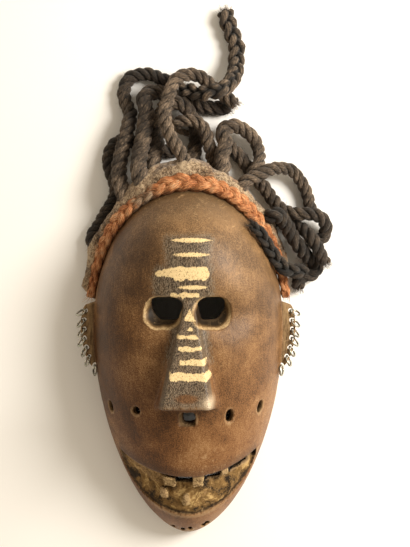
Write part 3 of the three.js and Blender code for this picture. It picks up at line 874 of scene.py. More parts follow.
def mouth_distance(x, y, z, top_z):
    """Recess of the mouth: deep under the upper lip, rising to the lower one"""
    upper, lower = upper_lip(x), lower_lip(x)
    share = np.clip((y - lower) / (upper - lower), 0, 1)
    floor = top_z - (LOWER_LIP_DEPTH + (LIP_DEPTH - LOWER_LIP_DEPTH) * share)
    floor = floor + MOUTH_WORN_RISE * mouth_worn(x, y, MOUTH_WORN_WIDTH)
    flat = np.maximum((lower - y) * 0.75, (y - upper) * 0.9)
    flat = np.maximum(flat, (np.abs(x) - MOUTH_HALF_WIDTH) * 0.8)
    return smooth_both(flat, (floor - z) * 0.8, 0.8)


def slit_distance(x, y, z):
    best = 1e3
    for start, end in SLITS:
        across = np.abs(x - (start + end) / 2) - (end - start) / 2
        along = np.abs(y - upper_lip(x) + SLIT_WIDTH / 2) - SLIT_WIDTH / 2
        best = np.minimum(best, smooth_both(across, along, 1.0))
    return best


def tooth_distance(x, y, z, top_z):
    best = 1e3
    for place_x, place_y, width, length in TEETH:
        across = np.abs(x - place_x) - width / 2
        along = np.abs(y - place_y) - length / 2
        over = z - (top_z - TOOTH_DEPTH)
        best = np.minimum(best, smooth_both(smooth_both(across, along, 1.2), over, 1.4))
    return np.maximum(best, top_z - 14 - z)


def hole_distance(x, y, z):
    """Holes through the cheeks, the chin's rim and the ears"""
    best = 1e3
    for place_x, place_y, width, length, lean in CHEEK_HOLES:
        place_z = float(outer_height(np.float64(place_x), np.float64(place_y)))
        turn = math.radians(lean)
        across = (x - place_x) * math.cos(turn) - (z - place_z) * math.sin(turn)
        reach = np.hypot(across / (width / 2), (y - place_y) / (length / 2))
        depth = np.abs((x - place_x) * math.sin(turn) + (z - place_z) * math.cos(turn)) - 25
        best = np.minimum(best, np.maximum((reach - 1) * min(width, length) / 2, depth))
    for place_x in CHIN_HOLE_XS:
        away = np.hypot(x - place_x, z - CHIN_HOLE_Z) - CHIN_HOLE_DIAMETER / 2
        best = np.minimum(best, np.maximum(away, y + 130))
    shallow = -CHIN_NOTCH_DEPTH - dome_distance(x, y, z)
    for place_x, place_y in CHIN_NOTCHES:
        away = np.hypot(x - place_x, y - place_y) - CHIN_NOTCH_RADIUS
        best = np.minimum(best, np.maximum(away, shallow))
    for i in range(RINGS_PER_EAR):
        place_y = EAR_Y + RING_SPACING * (i - (RINGS_PER_EAR - 1) / 2)
        away = np.hypot(np.abs(x) - (ear_edge(place_y) - RING_HOLE_INSET), y - place_y)
        away = away - RING_HOLE_DIAMETER / 2
        best = np.minimum(best, np.maximum(away, np.abs(z - EAR_Z) - 6))
    return best


def nostril_distance(x, y, z, top_z):
    """Square hole under the nose, worn into a slope at its left and lower sides"""
    half = NOSTRIL_WIDTH / 2
    depth = np.clip((top_z - z) / NOSTRIL_WORN_DEPTH, 0, 1)
    left, bottom = NOSTRIL_WORN * depth - half, NOSTRIL_Y - NOSTRIL_LENGTH / 2 + NOSTRIL_WORN * depth
    return rounded_box(x, y, left, half, bottom, NOSTRIL_Y + NOSTRIL_LENGTH / 2, 2.2)


def wood_distance(x, y, z):
    """Near distance to the carved wood's surface: negative inside the wood"""
    top_z = outer_height(x, y)
    backing = MOUTH_BACKING * bell(y - MOUTH_BACKING_Y, MOUTH_BACKING_LENGTH)
    backing = backing * bell(x, MOUTH_BACKING_WIDTH)
    body = dome_distance(x, y, z)
    body = smooth_union(body, ear_distance(x, y, z), 1.6)
    body = smooth_cut(body, eye_distance(x, y, z, top_z), 1.0)
    body = smooth_union(body, nose_distance(x, y, z), 2.4)
    body = smooth_cut(body, mouth_distance(x, y, z, top_z), 0.8)
    body = smooth_union(body, tooth_distance(x, y, z, top_z), 0.8)
    body = smooth_cut(body, slit_distance(x, y, z), 0.6)
    body = smooth_cut(body, dome_distance(x, y, z, -WALL, backing), 1.5)
    body = smooth_cut(body, nostril_distance(x, y, z, top_z), 0.8)
    body = smooth_cut(body, hole_distance(x, y, z), 0.6)
    return np.maximum(body, -z)


def surface_net(values, low, step):
    """Vertices and faces round a grid's zero level, one vertex in each crossed cell"""
    inside = values < 0
    shape = tuple(n - 1 for n in values.shape)
    cells = np.zeros(shape, dtype=np.int8)
    corners = [(a, b, c) for a in (0, 1) for b in (0, 1) for c in (0, 1)]
    for a, b, c in corners:
        cells += inside[a:a + shape[0], b:b + shape[1], c:c + shape[2]]
    where = np.argwhere((cells > 0) & (cells < 8))
    index = np.full(shape, -1, dtype=np.int64)
    index[tuple(where.T)] = np.arange(len(where))
    total = np.zeros((len(where), 3))
    crossings = np.zeros(len(where))
    for corner in corners:
        for axis in range(3):
            if corner[axis]:
                continue
            first = where + corner
            a = values[tuple(first.T)]
            b = values[tuple((first + np.eye(3, dtype=int)[axis]).T)]
            crossed = (a < 0) != (b < 0)
            point = first.astype(float)
            point[:, axis] += np.where(crossed, a / np.where(crossed, a - b, 1), 0)
            total += point * crossed[:, None]
            crossings += crossed
    faces = []
    for axis in range(3):
        others = [k for k in range(3) if k != axis]
        start = inside.take(range(shape[axis]), axis)
        end = inside.take(range(1, values.shape[axis]), axis)
        edges = np.argwhere(start != end)
        for k in others:
            edges = edges[(edges[:, k] > 0) & (edges[:, k] < shape[k])]
        ring = []
        for back in ((1, 1), (0, 1), (0, 0), (1, 0)):
            cell = edges.copy()
            cell[:, others] -= back
            ring.append(index[tuple(cell.T)])
        quads = np.stack(ring, axis=1)
        flip = start[tuple(edges.T)] == (axis == 1)
        quads[flip] = quads[flip][:, ::-1]
        faces.append(quads)
    return low + total / crossings[:, None] * step, np.vstack(faces)


def gradient(field, points, reach):
    """Slope of a field of distances at points, from its values on both sides of them"""
    steps = reach * np.eye(3)
    ahead = [field(*(points + step).T) for step in steps]
    behind = [field(*(points - step).T) for step in steps]
    return (np.array(ahead) - np.array(behind)).T / (2 * reach)


def wood_surface():
    """Carved wood's vertices and faces, drawn onto the exact surface"""
    low, high = np.array(GRID_LOW), np.array(GRID_HIGH)
    axes = [np.arange(low[k], high[k], GRID_STEP) for k in range(3)]
    values = wood_distance(*np.ix_(*axes))
    points, faces = surface_net(values, low, GRID_STEP)
    for _ in range(2):
        here, slope = wood_distance(*points.T), gradient(wood_distance, points, SLOPE_REACH)
        size = np.maximum((slope**2).sum(axis=1), 0.2)
        move = -slope * (here / size)[:, None]
        far = np.linalg.norm(move, axis=1)[:, None]
        points = points + move * np.minimum(1, 0.35 * GRID_STEP / (far + 1e-9))
    points[:, 2] = np.maximum(points[:, 2], 0)
    return points, faces


# Lumps of the carved, cut and polished wood and of the paint's edges: height, size, seed and layers
CARVED_LUMPS = (1.15, 4.6, 21, 3)
RAW_LUMPS = (0.35, 9.0, 25, 3)
POLISHED_LUMPS = [(0.16, 17.0, 31, 3), (0.05, 3.0, 35, 1)]
PAINT_EDGE_LUMPS = (0.9, 2.2, 41, 2)

# Blackened parts of the forehead: left, right, bottom, top and corner
SOOT_BOXES = [(-15.0, 15.5, 7.0, 47.5, 3.0), (-21.5, 17.5, 9.0, 30.0, 3.0)]

# Painted stripes of the forehead and nose: x, y, half width, half height, shape
STRIPES = [
    (3.0, 45.4, 14.2, 1.9, "lens"),
    (2.9, 36.1, 13.4, 1.75, "lens"),
    (-3.0, 24.2, 17.9, 4.8, "leaf"),
    (4.0, 15.3, 10.8, 1.7, "lens"),
    (-0.9, 10.2, 9.4, 1.8, "block"),
    (1.8, -2.2, 4.2, 4.4, "wedge"),
    (2.2, -10.9, 3.4, 1.5, "wedge"),
    (1.0, -15.9, 7.6, 1.7, "block"),
    (2.3, -23.1, 7.6, 1.6, "block"),
    (3.9, -31.0, 9.0, 2.2, "block"),
    (2.5, -39.9, 13.0, 2.9, "block"),
]


def stripe_field(x, y, worn):
    """How far each point lies inside a painted stripe, in millimetres"""
    best = np.full(len(x), -FAR)
    for place_x, place_y, half_width, half_height, shape in STRIPES:
        across = np.abs(x - place_x) / half_width
        if shape == "lens":
            height = half_height * np.clip(1 - across**2, 0, 1) ** 0.75
            field = np.minimum(height - np.abs(y - place_y), (1 - across) * half_width)
        elif shape == "leaf":
            t = np.clip((x - place_x) / (2 * half_width) + 0.5, 0, 1)
            height = half_height * np.clip(t / 0.5, 0, 1) ** 0.55 * np.clip((1 - t) / 0.08, 0, 1) ** 0.5
            field = np.minimum(height - np.abs(y - place_y), (1 - across) * half_width)
        elif shape == "wedge":
            width = half_width * np.clip((place_y + half_height - y) / (2 * half_height), 0.2, 1)
            field = np.minimum(width - np.abs(x - place_x), half_height - np.abs(y - place_y))
        else:
            sides = (place_x - half_width, place_x + half_width, place_y - half_height, place_y + half_height)
            field = -rounded_box(x, y, *sides, 1.0)
        if shape != "lens":
            field = field + worn
        best = np.maximum(best, field)
    return best


def soot_field(x, y, z):
    """Blackened band down the forehead and nose, in millimetres inside its edge"""
    brow, wide = [-rounded_box(x, y, *box) for box in SOOT_BOXES]
    half, front, middle = nose_form(y)
    nose = np.minimum(half + 5.5 - np.abs(x - middle), z - front + 15.0)
    nose = np.minimum(nose, np.minimum(y - NOSE_TIP_Y + 2.0, 12.0 - y))
    return np.maximum(np.maximum(brow, wide), nose)


def add_face():
    points, faces = wood_surface()
    x, y, z = points.T
    normals = unit(gradient(wood_distance, points, SLOPE_REACH))
    ahead, behind = [wood_distance(*(points + normals * reach).T) for reach in (EDGE_REACH, -EDGE_REACH)]
    top_z = outer_height(x, y)
    on_skin = np.clip(1.4 - np.abs(dome_distance(x, y, z)), 0, 1)
    on_nose = np.clip(1.2 - np.abs(nose_distance(x, y, z)), 0, 1) * (z > top_z - 1)
    raw = np.clip(1 - on_skin - on_nose, 0, 1)
    eye = rounded_box(np.abs(x), y, EYE_INNER_X, EYE_OUTER_X, EYE_BOTTOM_Y, EYE_TOP_Y, EYE_CORNER)
    raw = np.where((eye < 0.5) & (z > top_z - EYE_BEVEL_DEPTH - 1), 0.3 * raw, raw)
    mouth = np.clip(-np.maximum(lower_lip(x) - y, y - upper_lip(x)) / 1.2, 0, 1)
    mouth = mouth * (z < top_z - 0.8) * (z > top_z - 13)
    ear = np.clip(1 - ear_distance(x, y, z) / 0.6, 0, 1) * (np.abs(x) > 60)
    rough = np.maximum(mouth, 0.5 * ear)
    carved = lumps_of(points, CARVED_LUMPS) * rough + lumps_of(points, RAW_LUMPS) * raw * (1 - rough)
    moved = points + normals * (carved + lumps_of(points, *POLISHED_LUMPS) * (1 - raw))[:, None]
    moved[:, 2] = np.where(z < 0.3, z, np.maximum(moved[:, 2], 0))
    worn = lumps_of(points, PAINT_EDGE_LUMPS) - 1.2 * np.clip(noise(points, 5.0, 45), 0.3, 1) + 0.45
    tooth = np.clip(1 - tooth_distance(x, y, z, top_z) / 0.7, 0, 1) * (z > top_z - 6)
    above_lip = y - upper_lip(x)
    by_lip = (z > top_z - 2) & (mouth < 0.5) & (above_lip > -1) & (np.abs(x) < MOUTH_HALF_WIDTH)
    attributes = dict(
        raw=raw, mouth=mouth, ear=ear, tooth=tooth,
        # Painted shade on the wood below its outer skin: inside its hollow and down its holes
        inner_shade=np.clip((top_z - z - 4) / 3, 0, 1),
        edge=np.clip((ahead + behind) / EDGE_REACH, -1, 1),
        low=np.where(mouth > 0, y - lower_lip(x), FAR),
        lip=np.where(by_lip, above_lip, FAR),
        eye=np.where(z > top_z - 9, eye, FAR),
        # Painted shade round the mouth's slits
        slit_shadow=np.clip(1 - np.maximum(slit_distance(x, y, z), 0) / 2.6, 0, 1) * mouth * (1 - tooth),
        slope=mouth_worn(x, y, 11) * mouth,
        bare=bell(np.hypot((x - 0.5) / 2.6, y - NOSE_TIP_Y - 6.5), 3.2) * (z > top_z),
        corner=bell(np.hypot(x - 14.0, y - NOSE_TIP_Y - 3.5), 3.6) * (z > top_z + 2),
        stripe=np.where(z > top_z - 3, stripe_field(x, y, worn), -FAR),
        soot=np.where(z > top_z - 5, soot_field(x, y, z), -FAR),
    )
    piece = make_mesh("carved_wood", moved, faces, wood_material, attributes)
    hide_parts("carved_face")


def make_wood_material():
    shader = Shader("carved_wood")
    noise, scaled, layered = shader.noise, shader.scaled, shader.layered
    add, times, span, swing, attribute = shader.add, shader.times, shader.span, shader.swing, shader.attribute
    place = shader.place()
    side, length, _ = shader.node("SeparateXYZ", {0: place}).outputs
    broad = noise(place, 14.0, 3.0, 0.55)
    blotch = noise(place, 48.0, 4.0, 0.6, 0.5)
    grain = noise(scaled(place, (700.0, 60.0, 700.0)), 1.0, 4.0, 0.6, 0.3)
    fine = noise(scaled(place, (2400.0, 420.0, 2400.0)), 1.0, 3.0, 0.65)
    speck = noise(place, 900.0, 2.0, 0.6)
    speckle = noise(place, 1500.0, 3.0, 0.75)

    # Polished skin: darker at the left and paler at the right, partly the wood's own colour and partly
    # painted shade and painted light from the lamp at the right; redder towards the chin
    down = span(length, 0.09, -0.10)
    shade = add(
        swing(broad, 0.3), swing(grain, 0.13), swing(blotch, 0.28), swing(fine, 0.12),
        swing(speckle, 0.36, 0.38, 0.62))
    left_shaded_brown = layered((0.100, 0.046, 0.014), (down, (0.100, 0.032, 0.0050)))
    right_lit_brown = layered((0.140, 0.080, 0.036), (down, (0.195, 0.082, 0.026)))

    # Wood cut open, and the mouth's floor with its worn slope, its low edge, its teeth, and painted shade
    # round its slits
    raw = layered(
        (0.085, 0.046, 0.020),
        (span(grain, 0.3, 0.7), (0.27, 0.175, 0.082)),
        (span(speck, 0.5, 0.75, 0.0, 0.6), (0.035, 0.020, 0.010)),
    )
    patch = add(noise(place, 95.0, 4.0, 0.6, 0.9), swing(speck, 0.045))
    sloped = layered((0.10, 0.058, 0.024), (span(speck, 0.35, 0.65), (0.30, 0.185, 0.08)))
    stub = layered((0.13, 0.075, 0.03), (span(speck, 0.35, 0.7), (0.52, 0.37, 0.18)))
    floor = layered(
        (0.018, 0.011, 0.005),
        (span(patch, 0.36, 0.54), (0.19, 0.108, 0.036)),
        (span(patch, 0.54, 0.68, 0.0, 0.85), (0.50, 0.34, 0.14)),
        (attribute("slope"), sloped),
        (span(attribute("low"), 3.4, 0.6, 0.0, 0.85), (0.022, 0.014, 0.007)),
        (attribute("tooth"), stub),
        # Painted shade round the slits
        (span(attribute("slit_shadow"), 0.2, 0.8), (0.004, 0.003, 0.002)),
    )

    # Bevel of the eyes, with painted shade darkening it towards the hole, and their pale rim; scratches;
    # edges rubbed pale, and the surface darker in its hollows
    eye = add(attribute("eye"), swing(blotch, 0.9))
    # Painted shade: the bevel darkens towards the hole
    bevel_shaded = layered((0.022, 0.013, 0.006), (span(eye, -3.6, -1.2), (0.17, 0.098, 0.040)))
    rim = times(span(eye, -1.9, -0.8), span(eye, 0.7, 0.1), span(speck, 0.3, 0.6, 0.25, 0.95))
    vein = shader.math("SUBTRACT", (noise(place, 75.0, 2.0, 0.5, 2.2), 0.5))
    vein = shader.math("ABSOLUTE", (vein, 0.0))
    rub = add(attribute("edge"), swing(grain, 0.2))
    rubbed = times(span(rub, 0.25, 0.7, 0.0, 0.55), span(attribute("eye"), -1.2, 0.3, 0.15, 1.0))

    # Soot of the forehead and nose, and the painted stripes on it
    soot = add(attribute("soot"), swing(fine, 3.0, 0.2, 0.8), swing(broad, 2.5))
    soot_share = times(
        span(soot, -1.5, 2.5), span(grain, 0.25, 0.6, 0.62, 0.92),
        span(attribute("bare"), 0.75, 0.25, 0.1, 1.0), span(attribute("eye"), -1.0, 0.5))
    ash = add(span(fine, 0.36, 0.64, 0.0, 1.4), swing(speckle, 0.3, 0.35, 0.65))
    ash = layered((0.018, 0.014, 0.010), (span(ash, 0.3, 1.2), (0.20, 0.155, 0.105)))
    tip = times(attribute("corner"), span(speckle, 0.4, 0.55, 0.5, 1.3), clamp=True)
    stripe = add(attribute("stripe"), swing(speck, 0.3, 0.25, 0.75), swing(fine, 0.35, 0.25, 0.75))
    painted = span(stripe, 0.15, 0.6)
    fleck = add(speckle, swing(speck, 0.1))
    paint = layered(
        (0.70, 0.53, 0.28),
        (span(fleck, 0.52, 0.68, 0.0, 0.8), (0.30, 0.18, 0.075)),
        (span(fleck, 0.62, 0.72, 0.0, 0.8), (0.06, 0.04, 0.02)),
    )
    colour = layered(
        left_shaded_brown,
        # Left to right: partly the wood's colour, partly painted shade at the left and painted light at the
        # right
        (span(side, -0.07, 0.03), right_lit_brown),
        (span(shade, 0.1, -0.75, 0.0, 0.8), (0.022, 0.009, 0.003)),
        (span(shade, 0.0, 0.75, 0.0, 0.75), (0.33, 0.185, 0.080)),
        (attribute("raw"), raw),
        (times(span(attribute("lip"), 9.0, 0.5), span(blotch, 0.3, 0.65, 0.3, 0.7)), (0.050, 0.028, 0.019)),
        (times(span(length, 0.072, 0.108), span(blotch, 0.3, 0.6, 0.35, 0.75)), (0.070, 0.046, 0.024)),
        # Painted shade inside the hollow and down the holes
        (attribute("inner_shade"), (0.028, 0.016, 0.009)),
        (attribute("mouth"), floor),
        # Eye bevel with its painted shade
        (span(eye, 0.4, -0.4), bevel_shaded),
        (rim, (0.50, 0.35, 0.18)),
        (times(span(vein, 0.009, 0.002), span(broad, 0.48, 0.6, 0.0, 0.55)), (0.40, 0.26, 0.13)),
        (rubbed, (0.36, 0.235, 0.120)),
        # Darker where the surface is hollow
        (span(rub, -0.38, -0.9, 0.0, 0.7), (0.025, 0.013, 0.007)),
        (soot_share, ash),
        (tip, (0.52, 0.41, 0.28)),
        (painted, paint),
    )
    roughness = span(add(attribute("raw"), painted), 0.0, 1.0, 0.46, 0.9)
    relief = add(times(grain, 0.6), times(fine, 0.4))
    return shader.finish(colour, roughness, (relief, 0.35, 0.0005), specular=0.24)


wood_material = make_wood_material()
add_face()


# Cloth cap band and raffia braid, both measured out from the outline's centre

CAP_ANGLES = (30.0, 162.0)
CAP_INSET = 14.0
CAP_FLOOR = 2.5
CAP_TOP_RISE = 0.9
CAP_POWER = 2.6
CAP_STATIONS = 330
CAP_SIDES = 110
CAP_WOOD_GAP = 0.4
CAP_SOCKET_REACH = 7.5
CAP_SOCKET_SWELL = 2.6
CAP_CLOSING = 9.0

# Lumps of the cloth: height, size, seed and layers
CAP_LUMPS = [(0.8, 8.0, 51, 3), (0.45, 2.4, 55, 2), (0.2, 0.9, 58, 1)]

# How far the cloth stands out from the rim, from the right ear over the crown to the left ear
CAP_EDGE = [
    (30, 10.2), (43, 11.0), (55, 10.6), (64, 10.0), (70, 9.6), (76, 8.2), (80, 8.4), (83, 12.0),
    (88, 13.2), (95, 12.6), (100, 13.4), (104, 12.2), (109, 11.0), (114, 11.6), (119, 9.8),
    (125, 11.0), (131, 12.6), (135, 13.4), (140, 12.4), (147, 11.6), (154, 11.2), (162, 10.4),
]

BRAID_WIDTH = 8.8
BRAID_SINK = 0.2
BRAID_ANGLES = (18.0, 162.0)
BRAID_CROWN_Z = 35.5
BRAID_EAR_Z = 8.0
BRAID_FALL_POWER = 2.2
BRAID_PITCH = 27.0
BRAID_STRAND = 3.0
BRAID_SWAY = 3.25
BRAID_LIFT = 1.7
BRAID_GROOVE = 5.4
BRAID_PROUD = 1.9
BRAID_LEAN = 58.0
BRAID_FRAYED = 108.0
BRAID_STEP = 0.6
BRAID_SEED = 70
BRAID_FIBRES = 620


def rim_at(degrees):
    angle = np.radians(degrees)
    return rim_radius(np.cos(angle), np.sin(angle))


def braid_line(degrees):
    """Middle of the braid in the upright plane at an angle: how far out, and how high"""
    t = np.clip((degrees - BRAID_ANGLES[0]) / (BRAID_ANGLES[1] - BRAID_ANGLES[0]), 0, 1)
    rise = np.abs(np.sin(np.pi * t)) ** BRAID_FALL_POWER
    height = BRAID_EAR_Z + (BRAID_CROWN_Z - BRAID_EAR_Z) * rise
    rim = rim_at(degrees)
    y = CENTRE_Y + rim * np.sin(np.radians(degrees))
    share = (1 - (height / crest_height(y)) ** 2) ** (1 / DOME_POWER)
    return rim * share + BRAID_WIDTH / 2 - BRAID_SINK, height


def braid_girth(degrees):
    """Share of the braid's full width at an angle: it thins towards the ears and where it frays"""
    from_crown = np.abs(degrees - 90)
    girth = 1 - 0.45 * np.clip((from_crown - 15) / 50, 0, 1)
    return girth * (1 - 0.3 * bell(degrees - BRAID_FRAYED, 7.0))


def squareness(value, power):
    return np.sign(value) * np.abs(value) ** (2 / power)


def kept_off_wood(points, gap):
    """Points moved out of the wood until they clear it by a gap"""
    for _ in range(4):
        away = gap - dome_distance(*points.T)
        points = points + unit(gradient(dome_distance, points, 0.3)) * np.maximum(0, away)[:, None]
    return points


def add_cap():
    degrees = np.linspace(*CAP_ANGLES, CAP_STATIONS)[:, None]
    turns = np.linspace(0, FULL_TURN, CAP_SIDES, endpoint=False)[None, :]
    rim = rim_at(degrees)
    outer = rim + np.interp(degrees, *np.array(CAP_EDGE, dtype=float).T)
    inner = rim - CAP_INSET
    braid_out, braid_z = braid_line(degrees)
    top = braid_z + CAP_TOP_RISE
    steps = np.arange(CAP_STATIONS)
    steps = np.minimum(steps, steps[::-1])[:, None]
    close = np.sqrt(np.clip(steps / CAP_CLOSING, 0.02, 1))
    out = (outer + inner) / 2 + (outer - inner) / 2 * squareness(np.cos(turns), CAP_POWER) * close
    z = (top + CAP_FLOOR) / 2 + (top - CAP_FLOOR) / 2 * squareness(np.sin(turns), CAP_POWER) * close
    lean = math.radians(BRAID_LEAN)
    girth = braid_girth(degrees)
    braid_out = braid_out + BRAID_PROUD * math.cos(lean) - (1 - girth) * BRAID_WIDTH / 2
    braid_z = braid_z + BRAID_PROUD * math.sin(lean)
    far = np.hypot(out - braid_out, z - braid_z) + TINY
    grown = np.maximum(far, BRAID_GROOVE * girth) / far
    out, z = braid_out + (out - braid_out) * grown, braid_z + (z - braid_z) * grown
    angle = np.radians(degrees)
    points = np.stack([out * np.cos(angle), CENTRE_Y + out * np.sin(angle), z], axis=2).reshape(-1, 3)
    turns = turns + 0 * degrees
    normals = np.stack([np.cos(turns) * np.cos(angle), np.cos(turns) * np.sin(angle), np.sin(turns)], axis=2)
    lumps = lumps_of(points, *CAP_LUMPS)
    for rope in ROPES:
        for socket in [rope[key] for key in ("root", "tip") if key in rope]:
            lumps += CAP_SOCKET_SWELL * bell(np.linalg.norm(points - socket, axis=1), CAP_SOCKET_REACH)
    points = kept_off_wood(points + normals.reshape(-1, 3) * lumps[:, None], CAP_WOOD_GAP)
    points[:, 2] = np.maximum(points[:, 2], 0.6)
    ends = points[:CAP_SIDES].mean(axis=0), points[-CAP_SIDES:].mean(axis=0)
    faces = loft_faces(CAP_STATIONS, CAP_SIDES)
    lumps = dict(lump=np.append(lumps, [0, 0]))
    piece = make_mesh("sacking_band", np.vstack([points, *ends]), faces, cloth_material, lumps)
    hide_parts("cloth_cap_band")


def make_cloth_material():
    shader = Shader("sacking")
    span, swing = shader.span, shader.swing
    place = shader.place()
    grains = shader.noise(place, 1500.0, 3.0, 0.7)
    coarse = shader.noise(place, 520.0, 3.0, 0.65, 0.6)
    broad = shader.noise(place, 60.0, 3.0, 0.6)
    rust = shader.noise(place, 95.0, 2.0, 0.5)
    shade = shader.add(
        swing(grains, 0.6, 0.36, 0.64), swing(coarse, 0.5, 0.34, 0.66), swing(broad, 0.3),
        swing(shader.attribute("lump"), 0.45, -1.2, 1.2))
    colour = shader.layered(
        (0.034, 0.020, 0.011),
        (span(shade, -0.9, 0.1), (0.170, 0.108, 0.060)),
        (span(shade, 0.1, 0.9), (0.44, 0.33, 0.21)),
        (span(rust, 0.55, 0.75, 0.0, 0.45), (0.36, 0.17, 0.075)),
    )
    relief = shader.add(shader.times(grains, 0.5), coarse)
    return shader.finish(colour, 0.95, (relief, 0.9, 0.0009), specular=0.15, sheen=(0.25, 0.5))


def add_braid():
    degrees = np.linspace(*BRAID_ANGLES, 60)
    out, height = braid_line(degrees)
    angle = np.radians(degrees)
    out = out - (1 - braid_girth(degrees)) * BRAID_WIDTH / 2
    line = np.stack([out * np.cos(angle), CENTRE_Y + out * np.sin(angle), height], axis=1)
    route, at = smooth_route(line, BRAID_STEP)
    along = unit(np.gradient(route, axis=0))
    outward = unit((route - (0, CENTRE_Y, 0)) * (1, 1, 0))
    lean = math.radians(BRAID_LEAN)
    up = outward * math.cos(lean) + np.array([0, 0, 1.0]) * math.sin(lean)
    across = unit(np.cross(along, up))
    bearing = np.degrees(np.arctan2(route[:, 1] - CENTRE_Y, route[:, 0]))
    frayed = np.clip(1 - np.abs(bearing - BRAID_FRAYED) / 8.0, 0, 1)
    girth = braid_girth(bearing)
    middle = route + up * BRAID_PROUD
    rng = np.random.default_rng(BRAID_SEED + 1)
    parts = Parts()
    for order in range(3):
        turn = FULL_TURN * (at / BRAID_PITCH + order / 3) + 0.35 * np.sin(at / 13.0)
        sway = girth * BRAID_SWAY * np.sin(turn)
        lift = girth * BRAID_LIFT * np.sin(2 * turn)
        uneven = 1 + 0.12 * np.sin(at / 4.1 + order * 2) + 0.1 * np.sin(at / 9.7 + order)
        centres = middle + across * sway[:, None] + up * lift[:, None]
        add_strand(
            parts, centres, at, girth * BRAID_STRAND * uneven, BRAID_SEED, frayed, order, middle,
            girth * (BRAID_LIFT + BRAID_STRAND), above=up, yarns=13, depth=0.08, lean=0.12)
    for _ in range(BRAID_FIBRES):
        i = rng.integers(0, len(route))
        turn = rng.uniform(0, FULL_TURN)
        side = across[i] * math.cos(turn) + up[i] * abs(math.sin(turn))
        start = middle[i] + side * girth[i] * BRAID_WIDTH * rng.uniform(0.4, 0.58)
        heading = unit(along[i] * rng.choice((-1, 1)) + side * rng.uniform(0.0, 0.5))
        add_fibre(parts, start, heading, rng.uniform(2.0, 7.0), rng, frayed[i] * rng.uniform(0.5, 1), 0.16)
    piece = parts.make("raffia_plait", 0.3, raffia_material, gap=0.05)
    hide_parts("raffia_braid")


def make_raffia_material():
    shader = Shader("raffia")
    span, swing, attribute = shader.span, shader.swing, shader.attribute
    streaks = shader.streaks(0.10, 2.6, 4.0)
    patches = shader.noise(shader.place(), 110.0, 3.0, 0.6)
    shade = shader.add(swing(streaks, 0.7, 0.34, 0.66), swing(patches, 0.35))
    worn = shader.add(attribute("tone"), span(patches, 0.35, 0.75, -0.25, 0.5), clamp=True)
    grey = shader.mix(span(shade, -0.5, 0.6), (0.10, 0.062, 0.036), (0.46, 0.33, 0.21))
    colour = shader.layered(
        (0.12, 0.036, 0.011),
        (span(shade, -0.7, 0.1), (0.52, 0.185, 0.058)),
        (span(shade, 0.0, 0.8), (0.78, 0.45, 0.22)),
        (span(worn, 0.15, 0.8), grey),
        # Painted shade in the troughs between yarns and in the grooves between strands
        (span(attribute("hollow"), 0.4, 1.0, 0.0, 0.6), (0.07, 0.022, 0.008)),
        (span(attribute("groove"), 0.15, 0.9, 0.0, 0.62), (0.030, 0.012, 0.005)),
    )
    return shader.finish(colour, 0.7, (streaks, 0.8, 0.0005), specular=0.35)


# Metal rings through the ears

RING_DIAMETER = 7.2
RING_WIRE = 1.3
RING_LEAN = 22.0
RING_YAWS = (-52.0, -46.0, -51.0, -44.0, -50.0, -45.0, -40.0)
RING_STEPS = 56
RING_SIDES = 14


def turned(points, angle, first, second):
    """Points turned by an angle from one axis towards another"""
    result = points.copy()
    result[:, first] = points[:, first] * math.cos(angle) - points[:, second] * math.sin(angle)
    result[:, second] = points[:, first] * math.sin(angle) + points[:, second] * math.cos(angle)
    return result


def add_ring(side_name, side, order):
    y = EAR_Y + RING_SPACING * (order - (RINGS_PER_EAR - 1) / 2)
    x = side * (ear_edge(y) - RING_HOLE_INSET)
    turn = np.linspace(0, FULL_TURN, RING_STEPS, endpoint=False)[:, None]
    round_wire = np.linspace(0, FULL_TURN, RING_SIDES, endpoint=False)[None, :]
    seed = 200 + order + 20 * (side > 0)
    starts = np.random.default_rng(seed).uniform(0, 6, 3)
    uneven = 1 + 0.03 * np.sin(2 * turn + starts[0]) + 0.02 * np.sin(3 * turn + starts[1])
    wire = RING_WIRE / 2 * (1 + 0.08 * np.sin(3 * turn + starts[2]))
    reach = RING_DIAMETER / 2 * uneven + wire * np.cos(round_wire)
    out, thick = RING_DIAMETER / 2 + reach * np.cos(turn), wire * np.sin(round_wire) + 0 * turn
    points = np.stack([out, thick, reach * np.sin(turn)], axis=2).reshape(-1, 3)
    points = turned(points, math.radians(side * RING_LEAN), 1, 2)
    edge_turn = math.atan(ear_edge(y + 1) - ear_edge(y))
    yaw = math.radians(RING_YAWS[order]) - edge_turn
    points = turned(points, yaw if side > 0 else math.pi - yaw, 0, 1) + (x, y, EAR_Z)
    points += 0.05 * noise(points, 0.8, seed)[:, None]
    row = np.arange(RING_STEPS)[:, None]
    k = np.arange(RING_SIDES)[None, :]
    after_row = (row + 1) % RING_STEPS
    after = (k + 1) % RING_SIDES
    corners = [(row, k), (row, after), (after_row, after), (after_row, k)]
    faces = np.stack([a * RING_SIDES + b for a, b in corners], axis=2).reshape(-1, 4)
    node = f"ear_ring_{side_name}_{order + 1}"
    piece = make_mesh(node + "_wire", points, faces, metal_material)
    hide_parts(node)


def make_metal_material():
    shader = Shader("tarnished_metal")
    span = shader.span
    place = shader.place()
    stain = shader.noise(place, 420.0, 4.0, 0.65)
    pits = shader.noise(place, 1600.0, 2.0, 0.6)
    green = shader.noise(place, 250.0, 2.0, 0.5)
    colour = shader.layered(
        (0.10, 0.095, 0.075),
        (span(stain, 0.38, 0.62), (0.62, 0.60, 0.52)),
        (span(green, 0.5, 0.7, 0.0, 0.5), (0.22, 0.27, 0.19)),
    )
    roughness = span(stain, 0.35, 0.65, 0.55, 0.22)
    return shader.finish(colour, roughness, (pits, 0.4, 0.0002), metallic=span(stain, 0.3, 0.55, 0.45, 1.0))


